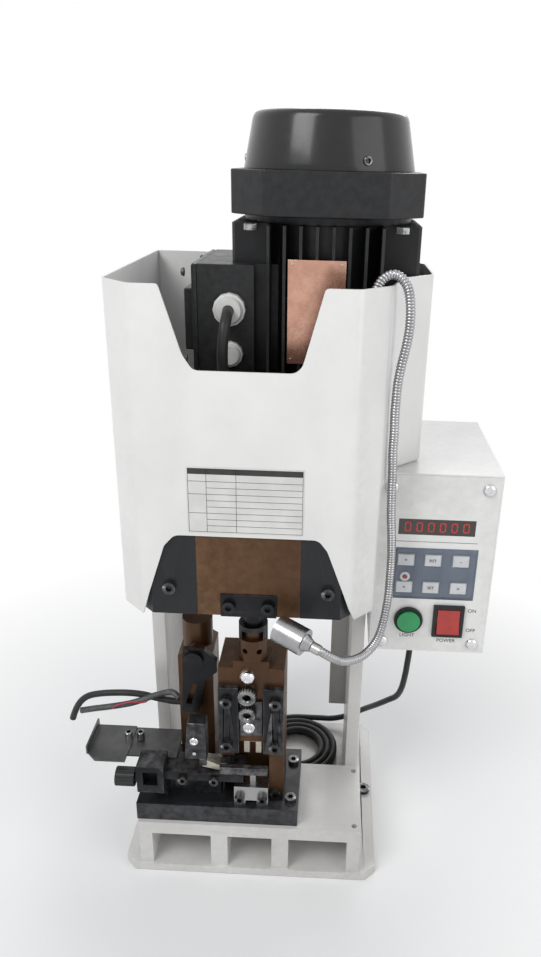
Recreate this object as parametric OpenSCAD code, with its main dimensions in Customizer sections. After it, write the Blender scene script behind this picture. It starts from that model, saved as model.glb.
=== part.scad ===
// Bench press that crimps terminals onto wires: a worm geared motor turns a crank,
// which drives a ram down onto an exchangeable tool with its own terminal feed.

/* [Base] */
// Width of the base plate
base_w = 230; // [225:1:270]
// Depth of the base plate
base_d = 204; // [204:1:240]
// Thickness of the base plate
base_t = 8; // [6:0.5:12]
// Length cut off each corner of the base plate
base_corner = 10; // [4:1:16]
// Width of the bench that carries the tool
bench_w = 200; // [199:0.5:206]
// Height of the bench above the base plate
bench_h = 48; // [40:1:60]
// Thickness of the bench top
bench_top_t = 13; // [10:0.5:18]
// Distance of the bench front from the middle of the base
bench_reach = 100; // [98:0.5:101]
// Width of the two outer legs of the bench
outer_leg_w = 12; // [8:0.5:16]
// Width of the two inner legs of the bench
inner_leg_w = 15; // [10:0.5:20]
// Width of the middle opening of the bench
middle_opening_w = 40; // [30:1:50]
// Thickness of the wall behind the bench openings
bench_wall_t = 12; // [8:0.5:16]
// Radius of the tapped holes in the bench
tapped_r = 2.5; // [2:0.1:4]
// Distance of the side tapped holes from the bench's middle
tapped_reach = 94; // [80:0.5:95]
// Distance of the tapped holes from the bench's front and back
tapped_inset = 7; // [6:0.5:12]

/* [Frame] */
// Thickness of the side plates of the frame
column_t = 12; // [10:0.5:14]
// Distance of the side plates' outer faces from the middle
column_reach = 97.5; // [95:0.5:98]
// Distance of the bench's back, where the side plates start, behind the middle
column_front = 18; // [12:0.5:22]
// Distance of the side plates' back behind the middle
column_back = 82; // [80:0.5:84]
// Width of the stiffening flange inside each side plate
flange_w = 17.5; // [12:0.5:20]
// Thickness of that flange
flange_t = 6; // [4:0.5:8]
// Height of the open throat above the ground
throat_h = 281; // [270:1:290]
// Height of the press head above the crankshaft's axis
head_over = 64; // [62:1:68]
// Depth of the head block
head_d = 44; // [42:0.5:50]

/* [Ram] */
// Sideways place of the ram's middle
ram_x = 2; // [-2:0.5:4]
// Width of the ram
ram_w = 79; // [72:0.5:82]
// Depth of the ram
ram_d = 44; // [40:0.5:48]
// Height of the ram
ram_h = 100; // [96:1:106]
// Width of the tongue on each side of the ram
tongue_w = 6; // [4:0.5:8]
// Depth of the tongue
tongue_d = 16; // [12:0.5:20]
// Width of the connector under the ram
connector_w = 43; // [36:0.5:46]
// Height of the connector
connector_h = 19; // [16:0.5:22]
// Radius of the shank below the connector
shank_r = 8; // [7:0.1:8.5]
// Radius of the hook that holds the tool's stud
hook_r = 12; // [11.5:0.1:13]
// Height of the hook
hook_h = 12.5; // [11:0.5:14]
// Width of the slot in the hook's front
hook_slot_w = 17.5; // [17.3:0.1:18.5]

/* [Drive] */
// Height of the crankshaft's axis above the throat
crank_rise = 54; // [51:1:56]
// Throw of the crank, half the stroke
crank_throw = 15; // [12:0.5:15]
// Radius of the crank web
web_r = 26; // [25:0.5:28]
// Radius of the crank pin
pin_r = 7.5; // [6:0.1:8.5]
// Radius of the crankshaft
shaft_r = 12.5; // [11:0.1:13]
// Depth from the middle of the worm wheel
wheel_y = 6.6; // [6:0.1:8]
// Distance between the crankshaft and the motor shaft
centre_distance = 50; // [49:0.5:51]
// Number of teeth of the worm wheel
wheel_teeth = 32; // [28:1:36]
// Height of the wheel's teeth and of the worm's thread
thread_h = 4.4; // [3.4:0.1:4.6]
// Radius of the middle of the worm's thread
worm_r = 9.8; // [9.4:0.1:10.2]
// Turns of the worm's thread
worm_turns = 5; // [4:1:6]
// Width of the worm wheel
wheel_w = 16; // [12:0.5:16]
// Wall of the gear housing
gear_wall = 8; // [6:0.5:9]

/* [Hood] */
// Thickness of the hood's sheet
hood_wall = 1.5; // [1:0.1:1.6]
// Half width of the hood's straight sides
hood_reach = 99.5; // [99.5:0.1:100]
// Distance of the hood's front before the middle
hood_front = 111; // [111:0.5:116]
// Length cut off the hood's front corners
hood_corner = 22; // [20:0.5:24]
// Distance of the hood's back behind the middle
hood_back = 84; // [84:0.5:88]
// Height of the hood's top above the ground
hood_top = 532; // [520:1:540]
// How far the hood bulges round the motor on the right
bulge_w = 33.5; // [32:0.5:36]

/* [Motor] */
// Half width of the finned motor body
motor_half = 69; // [66:0.5:70]
// Corner cut of the motor body
motor_corner = 25.6; // [22:0.2:28]
// Height of the finned body
motor_h = 161; // [156:1:168]
// Thickness of the motor flange
motor_flange_t = 6; // [5:0.5:8]
// Height of the band above the finned body
band_h = 36; // [32:0.5:40]
// Radius of the fan cover at its foot
fan_cover_r = 63.8; // [60:0.2:65]
// Radius of the fan cover at its top
fan_cover_top_r = 56.5; // [52:0.5:59]
// Height of the fan cover
fan_cover_h = 39; // [34:0.5:42]
// Thickness of each cooling fin
fin_t = 2.2; // [1.6:0.1:2.6]
// Distance between the cooling fins
fin_pitch = 11.5; // [10:0.1:12]
// Radius of the motor shaft
motor_shaft_r = 8; // [6:0.1:9]
// Radius of the rotor
rotor_r = 38; // [34:0.5:40]
// Radius of the motor's bore
stator_r = 52; // [48:0.5:54]
// Height of the rotor's core
rotor_h = 80; // [60:1:90]
// Width of the terminal box
terminal_w = 24; // [20:0.5:28]
// Depth of the terminal box
terminal_d = 97; // [88:1:100]
// Height of the terminal box
terminal_h = 79; // [70:1:84]

/* [Control box] */
// Width of the control box
control_w = 98.5; // [96:0.5:110]
// Depth of the control box
control_d = 137; // [110:1:140]
// Height of the control box
control_h = 165; // [160:1:172]
// Height of the control box's bottom above the ground
control_z = 218; // [214:1:222]
// Distance of the control box's front before the middle
control_front = 53; // [50:0.5:60]
// Thickness of the control box's sheet
control_wall = 1.5; // [1:0.1:2]
// Width of a key
key_w = 13; // [10:0.5:14]
// Height of a key
key_h = 10; // [8:0.5:12]
// Travel of a key
key_travel = 0.8; // [0.5:0.1:1.2]
// Radius of the lamp button's cap
button_r = 9.7; // [8:0.1:10]
// Travel of the lamp button
button_travel = 2.5; // [1.5:0.1:3]
// Width of the power rocker's frame
rocker_frame_w = 26; // [22:0.5:28]
// Height of the power rocker's frame
rocker_frame_h = 30; // [26:0.5:32]
// Angle between the rocker's two faces and the panel
rocker_angle = 8; // [5:1:9]

/* [Lamp] */
// Radius of the lamp's bendable hose
hose_r = 3.5; // [3:0.1:3.6]
// Radius of the hose's bore
hose_bore_r = 1.8; // [1.2:0.1:2]
// Height of each rib of the hose
rib_h = 0.45; // [0.2:0.05:0.5]
// Radius of the lamp head
lamp_r = 10.5; // [9:0.1:11]
// Length of the lamp head
lamp_l = 30; // [24:0.5:32]

/* [Tool] */
// Width of the tool's base plate
seat_w = 144; // [140:0.5:146]
// Thickness of the tool's base plate
seat_t = 18; // [14:0.5:20]
// Place of the right end of the tool's base plate
seat_right = 42.5; // [40:0.5:46]
// Width of the tool's sliding block
slide_w = 30; // [26:0.5:32]
// Depth of the tool's sliding block
slide_d = 22; // [20:0.5:24]
// Height of the tool's sliding block
slide_h = 83; // [78:0.5:86]
// Height of the tool's frame
tool_frame_h = 142; // [138:1:146]
// Thickness of the frame's side walls
tool_wall = 12.8; // [11:0.2:13]
// Depth of the frame's back wall
tool_back_d = 22; // [18:0.5:24]
// Thickness of the front guide plates
guide_t = 5; // [4:0.5:6]
// Height of the front guide plates
guide_h = 68; // [60:0.5:72]
// Width of the anvil
anvil_w = 5; // [4:0.1:5.5]
// Height of the anvil block above the tool's base plate
anvil_block_h = 21; // [18:0.5:22]
// Height of the anvil above its block
anvil_h = 13; // [10:0.5:13]
// Length of the crimping punches below the sliding block
punch_l = 12; // [10:0.1:12]

/* [Feed] */
// Width of the feed tower
tower_w = 31; // [28:0.5:32]
// Depth of the feed tower
tower_d = 34; // [28:0.5:36]
// Height of the feed tower above the tool's base plate
tower_h = 144; // [138:1:148]
// Length of the feed rail
rail_l = 69.5; // [66:0.5:70]
// Height of the feed rail above the tool's base plate
rail_z = 24; // [22:0.5:26]
// Thickness of the feed rail
rail_t = 8; // [6:0.5:9]
// Thickness of the sheets that guide the terminal strip
strip_sheet_t = 1.5; // [1:0.1:2]
// Radius of the feed's adjusting knob
knob_r = 8.5; // [7:0.5:9]
// Length of that knob
knob_l = 17; // [14:0.5:20]
// Radius of the air pipe
pipe_r = 3; // [2:0.1:3.5]

/* [Cord] */
// Diameter of the power cord
cord_d = 6.2; // [5.5:0.1:6.2]
// Radius of the middle of the coil's outer turn
coil_r = 46.5; // [44:0.1:46.5]
// Distance between the coil's turns, side by side and one on another
coil_pitch = 6.8; // [6.8:0.05:6.9]
// Turns of the coil in each of its two layers
coil_turns = 3; // [2:1:3]

/* [Fits] */
// Radial clearance of sliding and turning fits
run_gap = 0.06; // [0.03:0.01:0.09]
// Clearance of covers that slip over the frame
cover_gap = 0.5; // [0.4:0.05:0.8]
// Radius of the shanks of the screws
bolt_r = 2.5; // [2:0.1:3]
// Radius of the heads of the screws
bolt_head_r = 5; // [4:0.1:5.5]
// Height of the heads of the screws
bolt_head_h = 4; // [3:0.1:5]
// Depth to which the shanks reach
bolt_bite = 8; // [6:0.5:10]

/* [Hidden] */
$fn = 48;
// Overrun of cuts past the faces that they open
over = 1;

bench_z = base_t;
bench_top = base_t + bench_h;
head_h = crank_rise + head_over;
head_top = throat_h + head_h;
crank_h = throat_h + crank_rise;
column_in = column_reach - column_t;
head_back = -20;
head_front = head_back - head_d;
ram_back = head_front - cover_gap;
ram_front = ram_back - ram_d;
stroke = 2 * crank_throw;

// A block between two corners
module block(low, high) translate(low) cube(high - low);

// A rod along X or along Y from the origin
module rod_x(r, l) rotate([0, 90, 0]) cylinder(r = r, h = l);
module rod_y(r, l) rotate([-90, 0, 0]) cylinder(r = r, h = l);

// A socket screw whose head stands before a front face, or on a top face
module socket_screw(scale_share = 1) {
  socket_r = bolt_head_r * scale_share / 2;
  difference() {
    rotate([90, 0, 0]) cylinder(r = bolt_head_r * scale_share, h = bolt_head_h);
    translate([0, -bolt_head_h / 2, 0]) rotate([90, 0, 0]) cylinder(r = socket_r, h = bolt_head_h, $fn = 6);
  }
  rod_y(bolt_r, bolt_bite);
}
module front_screws(places, scale_share = 1) for (p = places) translate(p) socket_screw(scale_share);
module top_screws(places, scale_share = 1)
  for (p = places) translate(p) rotate([-90, 0, 0]) socket_screw(scale_share);
module front_holes(places)
  for (p = places) translate(p - [0, over, 0]) rod_y(bolt_r + run_gap, bolt_bite + over + cover_gap);
module top_holes(places)
  for (p = places) translate(p - [0, 0, bolt_bite + cover_gap])
    cylinder(r = bolt_r + run_gap, h = bolt_bite + cover_gap + over);

// Points of a smooth curve through places, with a number of steps between each two
function curve_point(q, i, t) =
  let (a = q[max(i - 1, 0)], b = q[i], c = q[i + 1], d = q[min(i + 2, len(q) - 1)])
  b + t / 2 * (c - a + t * (2 * a - 5 * b + 4 * c - d + t * (3 * (b - c) + d - a)));
function smooth(q, steps) = [
  for (i = [0 : len(q) - 2]) for (k = [0 : steps - 1]) curve_point(q, i, k / steps), q[len(q) - 1]];
function unit(v) = v / norm(v);
function direction(q, i) = unit(q[min(i + 1, len(q) - 1)] - q[max(i - 1, 0)]);

// Sideways vectors carried along a path without twisting
function frames(q, i, side) =
  let (way = direction(q, i), s = unit(side - (side * way) * way))
  i == len(q) - 1 ? [s] : concat([s], frames(q, i + 1, s));

// Rings of points round a path, one radius for each point
function rings(q, radii, sides, start) =
  let (s = frames(q, 0, start))
  [for (i = [0 : len(q) - 1])
    let (way = direction(q, i), u = s[i], v = cross(way, u))
    for (k = [0 : sides - 1]) q[i] + radii[i] * (cos(360 * k / sides) * u + sin(360 * k / sides) * v)];
function ring_faces(count, sides, first, inwards) = [
  for (i = [0 : count - 2]) for (k = [0 : sides - 1])
    let (a = first + i * sides + k, b = first + i * sides + (k + 1) % sides)
    each (inwards ? [[a, b + sides, b], [a, a + sides, b + sides]]
                  : [[a, b, b + sides], [a, b + sides, a + sides]])];
module tube(q, radii, sides, start) {
  n = len(q);
  polyhedron(rings(q, radii, sides, start), concat(
    [for (f = ring_faces(n, sides, 0, false)) [f[2], f[1], f[0]]],
    [for (k = [1 : sides - 2]) [0, k, k + 1]],
    [for (k = [1 : sides - 2]) [(n - 1) * sides, (n - 1) * sides + k + 1, (n - 1) * sides + k]]));
}
// A tube with a bore, whose outer radii are given one for each point
module hose(q, radii, bore, sides, start) {
  n = len(q);
  bore_radii = [for (p = q) bore];
  outer = [for (f = ring_faces(n, sides, 0, false)) [f[2], f[1], f[0]]];
  inner = [for (f = ring_faces(n, sides, n * sides, false)) f];
  foot = [for (k = [0 : sides - 1]) let (m = (k + 1) % sides)
    each [[k, m, n * sides + m], [k, n * sides + m, n * sides + k]]];
  mouth = [for (k = [0 : sides - 1]) let (m = (k + 1) % sides, a = (n - 1) * sides, b = (2 * n - 1) * sides)
    each [[a + k, b + m, a + m], [a + k, b + k, b + m]]];
  polyhedron(concat(rings(q, radii, sides, start), rings(q, bore_radii, sides, start)),
    concat(outer, inner, foot, mouth));
}

// Base and bench

module base_plate() color("silver") {
  w = base_w / 2;
  d = base_d / 2;
  c = base_corner;
  difference() {
    linear_extrude(base_t)
      polygon([[-w, c - d], [c - w, -d], [w - c, -d], [w, c - d], [w, d - c], [w - c, d], [c - w, d], [-w, d - c]]);
    top_holes(base_screw_places);
  }
}
base_screw_x = (base_w / 2 + column_reach) / 2 + run_gap;
base_screw_places = [
  for (x = [-base_screw_x, base_screw_x]) [x, 0, base_t]];

tapped_places = [for (y = [-bench_reach + tapped_inset, -column_front - tapped_inset]) [tapped_reach, y, bench_top]];
module bench() color("gainsboro") difference() {
  block([-bench_w / 2, -bench_reach, bench_z], [bench_w / 2, -column_front, bench_top]);
  opening_top = bench_top - bench_top_t;
  side_in = bench_w / 2 - outer_leg_w;
  middle_out = middle_opening_w / 2 + inner_leg_w;
  for (x = [[-side_in, -middle_out], [-middle_opening_w / 2, middle_opening_w / 2], [middle_out, side_in]])
    block([x[0], -bench_reach - over, bench_z - over], [x[1], -column_front - bench_wall_t, opening_top]);
  for (x = [-middle_opening_w / 4, middle_opening_w / 4])
    translate([x, -column_front - bench_wall_t - over, bench_z + bench_h / 4])
      rod_y(tapped_r * 2, bench_wall_t + over * 2);
  for (p = concat(tapped_places, [for (q = tapped_places) [-q[0], q[1], q[2]]]))
    translate(p - [0, 0, bench_top_t + over]) cylinder(r = tapped_r, h = bench_top_t + over * 2);
}

// Frame

module side_plate() {
  translate([column_in, 0, 0]) rotate([90, 0, 90]) linear_extrude(column_t)
    polygon([[-column_front, bench_z], [column_back, bench_z], [column_back, head_top],
      [head_front, head_top], [head_front, throat_h], [-column_front, throat_h]]);
  block([column_in - flange_w, column_back - flange_t, bench_top], [column_in, column_back, head_top]);
}
module left_column() color("whitesmoke") mirror([1, 0, 0]) side_plate();
module right_column() color("whitesmoke") side_plate();

web_d = head_d * 0.42;
web_room = web_r + cover_gap * 2;
bearing_r = shaft_r * 1.7;
bearing_w = head_d * 0.36;
module head_block() color("whitesmoke") difference() {
  block([-column_in, head_front, throat_h], [column_in, head_back, head_top]);
  translate([ram_x, head_front - over, crank_h]) rod_y(web_room, web_d + cover_gap * 2 + over);
  translate([ram_x, head_front, crank_h]) rod_y(shaft_r + cover_gap, head_d + over);
  translate([ram_x, head_back - bearing_w, crank_h]) rod_y(bearing_r, bearing_w + over);
}

// The ram and what guides it

tongue_back = ram_back;
tongue_front = tongue_back - tongue_d;
gib_in = ram_w / 2 + run_gap;
gib_screw_places = [for (s = [-1, 1])
  [ram_x + s * (ram_w / 2 + tongue_w * 3.5), ram_front, throat_h + connector_h * 1.25]];
module gib(s) color([0.1, 0.1, 0.1]) difference() {
  outer = column_in - s * ram_x;
  bevel = hood_corner - column_t + hood_wall * 2;
  translate([ram_x, 0, 0]) mirror([s < 0 ? 1 : 0, 0, 0]) difference() {
    translate([0, 0, throat_h]) linear_extrude(head_h)
      polygon([[gib_in, ram_front], [outer - bevel, ram_front], [outer, ram_front + bevel],
        [outer, head_front], [gib_in, head_front]]);
    block([gib_in - over, tongue_front - run_gap, throat_h - over],
      [gib_in + tongue_w + run_gap, head_front + over, head_top + over]);
  }
  front_holes([gib_screw_places[s < 0 ? 0 : 1]]);
}
module left_gib() gib(-1);
module right_gib() gib(1);

ram_top = throat_h + ram_h;
slider_w = web_r * 0.85;
slider_h = pin_r * 2 + crank_throw * 0.2;
slider_d = ram_d * 0.43;
pin_h = crank_h + crank_throw;
connector_proud = 1.5;
connector_back = ram_back - connector_proud;
connector_front = ram_front - connector_proud;
module ram() color([0.36, 0.25, 0.2]) difference() {
  union() {
    block([ram_x - ram_w / 2, ram_front, throat_h], [ram_x + ram_w / 2, ram_back, ram_top]);
    block([ram_x - ram_w / 2 - tongue_w, tongue_front, throat_h],
      [ram_x + ram_w / 2 + tongue_w, tongue_back, ram_top]);
  }
  reach = crank_throw + slider_w / 2 + cover_gap;
  block([ram_x - reach, ram_back - slider_d - cover_gap, pin_h - slider_h / 2 - run_gap],
    [ram_x + reach, ram_back + over, pin_h + slider_h / 2 + run_gap]);
  block([ram_x - connector_w / 2, ram_front - over, throat_h - over],
    [ram_x + connector_w / 2, ram_back + over, throat_h + connector_h]);
}

// Depth of the tool's stud and of the ram's shank
shank_y = -76;
seat_top = bench_top + seat_t;
// Height of the post that carries the stud, of the stud, and the play in the hook
post_h = 20;
stud_h = 7.5;
stud_r = shank_r;
slide_rise = 2;
slide_top = seat_top + tool_frame_h + guide_t + slide_rise;
post_top = slide_top + post_h;
hook_z = post_top + cover_gap;
connector_screw_places = [for (share = [-0.35, 0.35])
  [ram_x + share * connector_w, connector_front, throat_h + connector_h / 2]];
module ram_connector() color([0.12, 0.12, 0.12]) {
  connector_body();
  front_screws(connector_screw_places);
}
module connector_body() difference() {
  union() {
    block([ram_x - connector_w / 2, connector_front, throat_h],
      [ram_x + connector_w / 2, connector_back, throat_h + connector_h]);
    translate([ram_x, shank_y, hook_z + hook_h]) cylinder(r = shank_r, h = throat_h - hook_z - hook_h);
    translate([ram_x, shank_y, hook_z]) cylinder(r = hook_r, h = hook_h);
  }
  translate([ram_x, shank_y, hook_z - over]) cylinder(r = stud_r + cover_gap, h = stud_h + cover_gap + over);
  block([ram_x - hook_slot_w / 2, shank_y - hook_r - over, hook_z - over],
    [ram_x + hook_slot_w / 2, shank_y, hook_z + stud_h + cover_gap]);
  front_holes(connector_screw_places);
}
module slider_block() color("darkgray") block([ram_x - slider_w / 2, ram_back - slider_d, pin_h - slider_h / 2],
  [ram_x + slider_w / 2, ram_back, pin_h + slider_h / 2]);

// Crankshaft, worm gear and their housing

housing_back = wheel_y * 2 + wheel_w * 1.3;
pin_proud = 0.2;
module crankshaft() color("silver") {
  web_front = head_front + cover_gap;
  translate([ram_x, web_front, crank_h]) rod_y(web_r, web_d);
  translate([ram_x, head_front - pin_proud, pin_h]) rod_y(pin_r, pin_proud + cover_gap);
  translate([ram_x, web_front + web_d, crank_h]) rod_y(shaft_r, housing_back - web_front - web_d);
}
wheel_r = centre_distance - worm_r - cover_gap;
wheel_step = 360 / wheel_teeth / 8;
module worm_wheel() color("goldenrod") translate([ram_x, wheel_y + wheel_w / 2, crank_h]) rotate([90, 0, 0])
  linear_extrude(wheel_w) difference() {
    polygon([for (a = [0 : wheel_step : 360 - wheel_step / 2])
      (wheel_r + thread_h / 2 * cos(wheel_teeth * a)) * [cos(a), sin(a)]]);
    circle(r = shaft_r);
  }
worm_pitch = 2 * PI * wheel_r / wheel_teeth;
worm_l = worm_pitch * worm_turns;
wheel_room = wheel_r + thread_h;
worm_room = worm_r + thread_h * 1.6;
motor_x = ram_x + centre_distance;
low_bearing_h = bearing_w * 0.7;
low_bearing_z = crank_h - worm_l / 2 - low_bearing_h - thread_h;
motor_bearing_r = motor_shaft_r * 1.9;
module gearbox_housing() color("gainsboro") difference() {
  block([ram_x - wheel_room - gear_wall, head_back, throat_h],
    [motor_x + worm_room + gear_wall, housing_back, head_top]);
  translate([ram_x, wheel_y - wheel_w / 2 - over, crank_h]) rod_y(wheel_room, wheel_w + over * 2);
  translate([ram_x, head_back - over, crank_h]) rod_y(shaft_r + cover_gap, housing_back - head_back);
  translate([ram_x, housing_back - bearing_w, crank_h]) rod_y(bearing_r, bearing_w + over);
  translate([motor_x, wheel_y, low_bearing_z + low_bearing_h]) cylinder(r = worm_room, h = head_h);
  translate([motor_x, wheel_y, low_bearing_z]) cylinder(r = motor_bearing_r, h = low_bearing_h + over);
}

// The bearings of the crankshaft and of the motor shaft

module ring(outer, inner, h) difference() {
  cylinder(r = outer, h = h);
  translate([0, 0, -over]) cylinder(r = inner, h = h + over * 2);
}
motor_z = head_top;
body_z = motor_z + motor_flange_t;
band_z = body_z + motor_h;
fan_z = band_z + band_h;
module bearings() color("lightsteelblue") {
  for (y = [head_back - bearing_w, housing_back - bearing_w])
    translate([ram_x, y, crank_h]) rotate([-90, 0, 0]) ring(bearing_r, shaft_r + run_gap, bearing_w);
  for (z = [low_bearing_z, motor_z, band_z])
    translate([motor_x, wheel_y, z]) ring(motor_bearing_r, motor_shaft_r + run_gap, low_bearing_h);
}

// Hood

bulge_z = control_z + control_h;
function hood_plan(bulge) = [
  [-hood_reach, hood_corner - hood_front], [hood_corner - hood_reach, -hood_front],
  [hood_reach - hood_corner, -hood_front], [hood_reach, hood_corner - hood_front],
  each (bulge ? [[hood_reach + bulge_w / 3, -hood_front * 0.42],
      [hood_reach + bulge_w, wheel_y - motor_half * 0.47],
      [hood_reach + bulge_w, wheel_y + motor_half * 0.46], [hood_reach - hood_corner / 2, hood_back]]
    : [[hood_reach, hood_back]]),
  [-hood_reach, hood_back]];
module hood() color("whitesmoke") difference() {
  hood_z = throat_h - hood_wall;
  union() {
    translate([0, 0, hood_z]) linear_extrude(hood_top - hood_z) polygon(hood_plan(false));
    translate([0, 0, bulge_z]) linear_extrude(hood_top - bulge_z) polygon(hood_plan(true));
  }
  translate([0, 0, hood_z - over]) linear_extrude(hood_top) offset(delta = -hood_wall)
    polygon(hood_plan(false));
  translate([0, 0, bulge_z + hood_wall]) linear_extrude(hood_top) offset(delta = -hood_wall)
    polygon(hood_plan(true));
  translate([0, -hood_front + hood_corner * 1.2, 0]) rotate([90, 0, 0]) linear_extrude(hood_corner * 2) {
    r = hood_reach;
    top = hood_top + over;
    low = hood_z - over;
    notch_h = hood_corner * 2.6;
    cut_h = connector_h * 3.7;
    polygon([[-r * 0.563, top], [-r * 0.42, top - notch_h * 0.81], [-r * 0.35, top - notch_h],
      [r * 0.35, top - notch_h], [r * 0.4, top - notch_h * 0.92], [r * 0.543, top]]);
    polygon([[-r * 0.81, low], [-r * 0.61, low + cut_h * 0.87], [-r * 0.53, low + cut_h],
      [r * 0.543, low + cut_h], [r * 0.613, low + cut_h * 0.87], [r * 0.84, low]]);
  }
}

// Motor

// Share of the body's corner cut that its band has
body_corner = motor_corner * 1.17;
module motor_plan(cut = body_corner) polygon([
  for (s = [[1, -1], [1, 1], [-1, 1], [-1, -1]])
    let (a = motor_half, b = motor_half - cut)
    each (s[0] * s[1] < 0 ? [[s[0] * b, s[1] * a], [s[0] * a, s[1] * b]]
      : [[s[0] * a, s[1] * b], [s[0] * b, s[1] * a]])]);
fin_count = floor(motor_half * 0.8 / fin_pitch);
terminal_z = body_z + motor_h * 0.335;
module motor_housing() color("gainsboro") difference() {
  union() {
    translate([motor_x, wheel_y, motor_z]) intersection() {
      cylinder(r = motor_half * 0.9, h = motor_flange_t);
      block([-motor_half, head_front - wheel_y, 0], [motor_half, motor_half, motor_flange_t]);
    }
    translate([motor_x, wheel_y, body_z]) linear_extrude(motor_h) {
      circle(r = motor_half * 0.86);
      intersection() {
        motor_plan();
        for (a = [0 : 90 : 270], i = [-fin_count : fin_count - 1])
          rotate(a) translate([(i + 0.5) * fin_pitch - fin_t / 2, 0]) square([fin_t, motor_half]);
      }
    }
    translate([motor_x, wheel_y, terminal_z]) linear_extrude(terminal_h) intersection() {
      motor_plan();
      translate([-motor_half, -terminal_d / 2]) square([motor_half, terminal_d]);
    }
  }
  translate([motor_x, wheel_y, motor_z - over]) {
    cylinder(r = motor_bearing_r, h = low_bearing_h + over);
    cylinder(r = motor_shaft_r + cover_gap, h = motor_h);
  }
  translate([motor_x, wheel_y, body_z + motor_flange_t]) cylinder(r = stator_r, h = motor_h);
}
stator_z = body_z + motor_h * 0.18;
stator_h = rotor_h * 1.15;
module stator() color("sienna") translate([motor_x, wheel_y, stator_z])
  ring(stator_r, rotor_r + cover_gap, stator_h);
module motor_band() color("gainsboro") translate([motor_x, wheel_y, band_z]) difference() {
  union() {
    cylinder(r = motor_half * 0.92, h = band_h / 5);
    translate([0, 0, band_h / 6]) linear_extrude(band_h * 5 / 6) motor_plan(motor_corner);
  }
  translate([0, 0, -over]) cylinder(r = motor_bearing_r, h = low_bearing_h + over);
  translate([0, 0, low_bearing_h - over]) cylinder(r = motor_shaft_r + cover_gap, h = band_h);
  translate([0, 0, band_h / 2]) cylinder(r = stator_r, h = band_h);
}
module fan_cover() color([0.12, 0.12, 0.12]) translate([motor_x, wheel_y, fan_z]) difference() {
  cylinder(r1 = fan_cover_r, r2 = fan_cover_top_r, h = fan_cover_h);
  translate([0, 0, -over]) cylinder(r1 = fan_cover_r - hood_wall, r2 = fan_cover_top_r - hood_wall,
    h = fan_cover_h - hood_wall + over);
  for (n = [1 : 4], k = [0 : n * 6 - 1]) rotate(60 * k / n) translate([fan_cover_top_r * n / 5.2, 0, 0])
    cylinder(r = fan_cover_top_r / 16, h = fan_cover_h + over);
}
module rotor() color("silver") translate([motor_x, wheel_y, 0]) {
  translate([0, 0, low_bearing_z]) cylinder(r = motor_shaft_r, h = low_bearing_h + thread_h + over);
  translate([0, 0, crank_h - worm_l / 2])
    linear_extrude(worm_l, twist = -360 * worm_turns, slices = 12 * worm_turns, $fn = 12)
    rotate(-180 * worm_turns) translate([thread_h / 2, 0]) circle(r = worm_r, $fn = 12);
  translate([0, 0, crank_h + worm_l / 2 - over])
    cylinder(r = motor_shaft_r, h = fan_z + fan_cover_h / 2 - crank_h - worm_l / 2 + over);
  translate([0, 0, stator_z + stator_h / 2 - rotor_h / 2]) ring(rotor_r, motor_shaft_r - run_gap, rotor_h);
}
fan_blades = 6;
module cooling_fan() color("dimgray") translate([motor_x, wheel_y, fan_z + fan_cover_h * 0.1]) {
  hub_r = motor_shaft_r * 1.7;
  ring(hub_r, motor_shaft_r, fan_cover_h * 0.4);
  for (k = [0 : fan_blades - 1]) rotate(360 * k / fan_blades)
    block([hub_r - hood_wall / 3, -hood_wall / 2, 0], [fan_cover_top_r * 0.85, hood_wall / 2, fan_cover_h * 0.5]);
}
terminal_left = motor_x - motor_half - terminal_w;
terminal_front = wheel_y - motor_half + terminal_w / 2;
terminal_back = terminal_front + terminal_d;
module terminal_box() color("whitesmoke") difference() {
  wall = hood_wall * 2;
  block([terminal_left, terminal_front, terminal_z],
    [motor_x - motor_half * 0.7, terminal_back, terminal_z + terminal_h]);
  translate([motor_x, wheel_y, terminal_z - over]) linear_extrude(terminal_h + over * 2) motor_plan();
  block([terminal_left - over, terminal_front + wall, terminal_z + wall],
    [motor_x - motor_half - wall, terminal_back - wall, terminal_z + terminal_h - wall]);
}
// Thickness of the terminal box's lid
lid_t = 4;
module terminal_cover() color("whitesmoke") {
  block([terminal_left - lid_t, terminal_front, terminal_z],
    [terminal_left, terminal_back, terminal_z + terminal_h]);
  block([terminal_left - lid_t * 2.6, terminal_front + lid_t, terminal_z + terminal_h * 0.19],
    [terminal_left - lid_t, terminal_back - lid_t, terminal_z + terminal_h * 0.77]);
}

// Cable glands and the motor's cable

motor_gland = [motor_x - motor_half, terminal_front, terminal_z + terminal_h * 0.6];
plug_gland = [motor_x - motor_half, terminal_front, terminal_z + terminal_h * 0.18];
gland_r = 12;
gland_h = 10;
module gland(r, h, bore) difference() {
  union() {
    cylinder(r = r, h = h * 0.6, $fn = 12);
    translate([0, 0, h * 0.5]) cylinder(r1 = r * 0.9, r2 = r * 0.75, h = h * 0.5);
  }
  translate([0, 0, -over]) cylinder(r = bore, h = h + over * 2);
}
motor_cable_r = 4;
relief_h = 28;
module cable_glands() color("whitesmoke") {
  translate(motor_gland) rotate([90, 0, 0]) gland(gland_r, gland_h, motor_cable_r + run_gap);
  translate(plug_gland) rotate([90, 0, 0]) gland(gland_r * 0.8, gland_h * 0.7, run_gap);
  translate(cord_gland) mirror([0, 0, 1]) {
    gland(gland_r, gland_h, cord_d / 2 + run_gap);
    translate([0, 0, gland_h]) ring(cord_d * 0.8, cord_d / 2 + run_gap, relief_h - gland_h);
  }
}
motor_cable_way = [
  [-17, -51, 506], [-17, -61, 506], [-17, -70, 503], [-18, -76, 495], [-19, -78, 482], [-19, -78, 466],
  [-18, -78, 450], [-15, -77, 434], [-10, -74, 424], [-2, -68, 418], [4, -58, 414], [8, -46, 412]];
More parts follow.
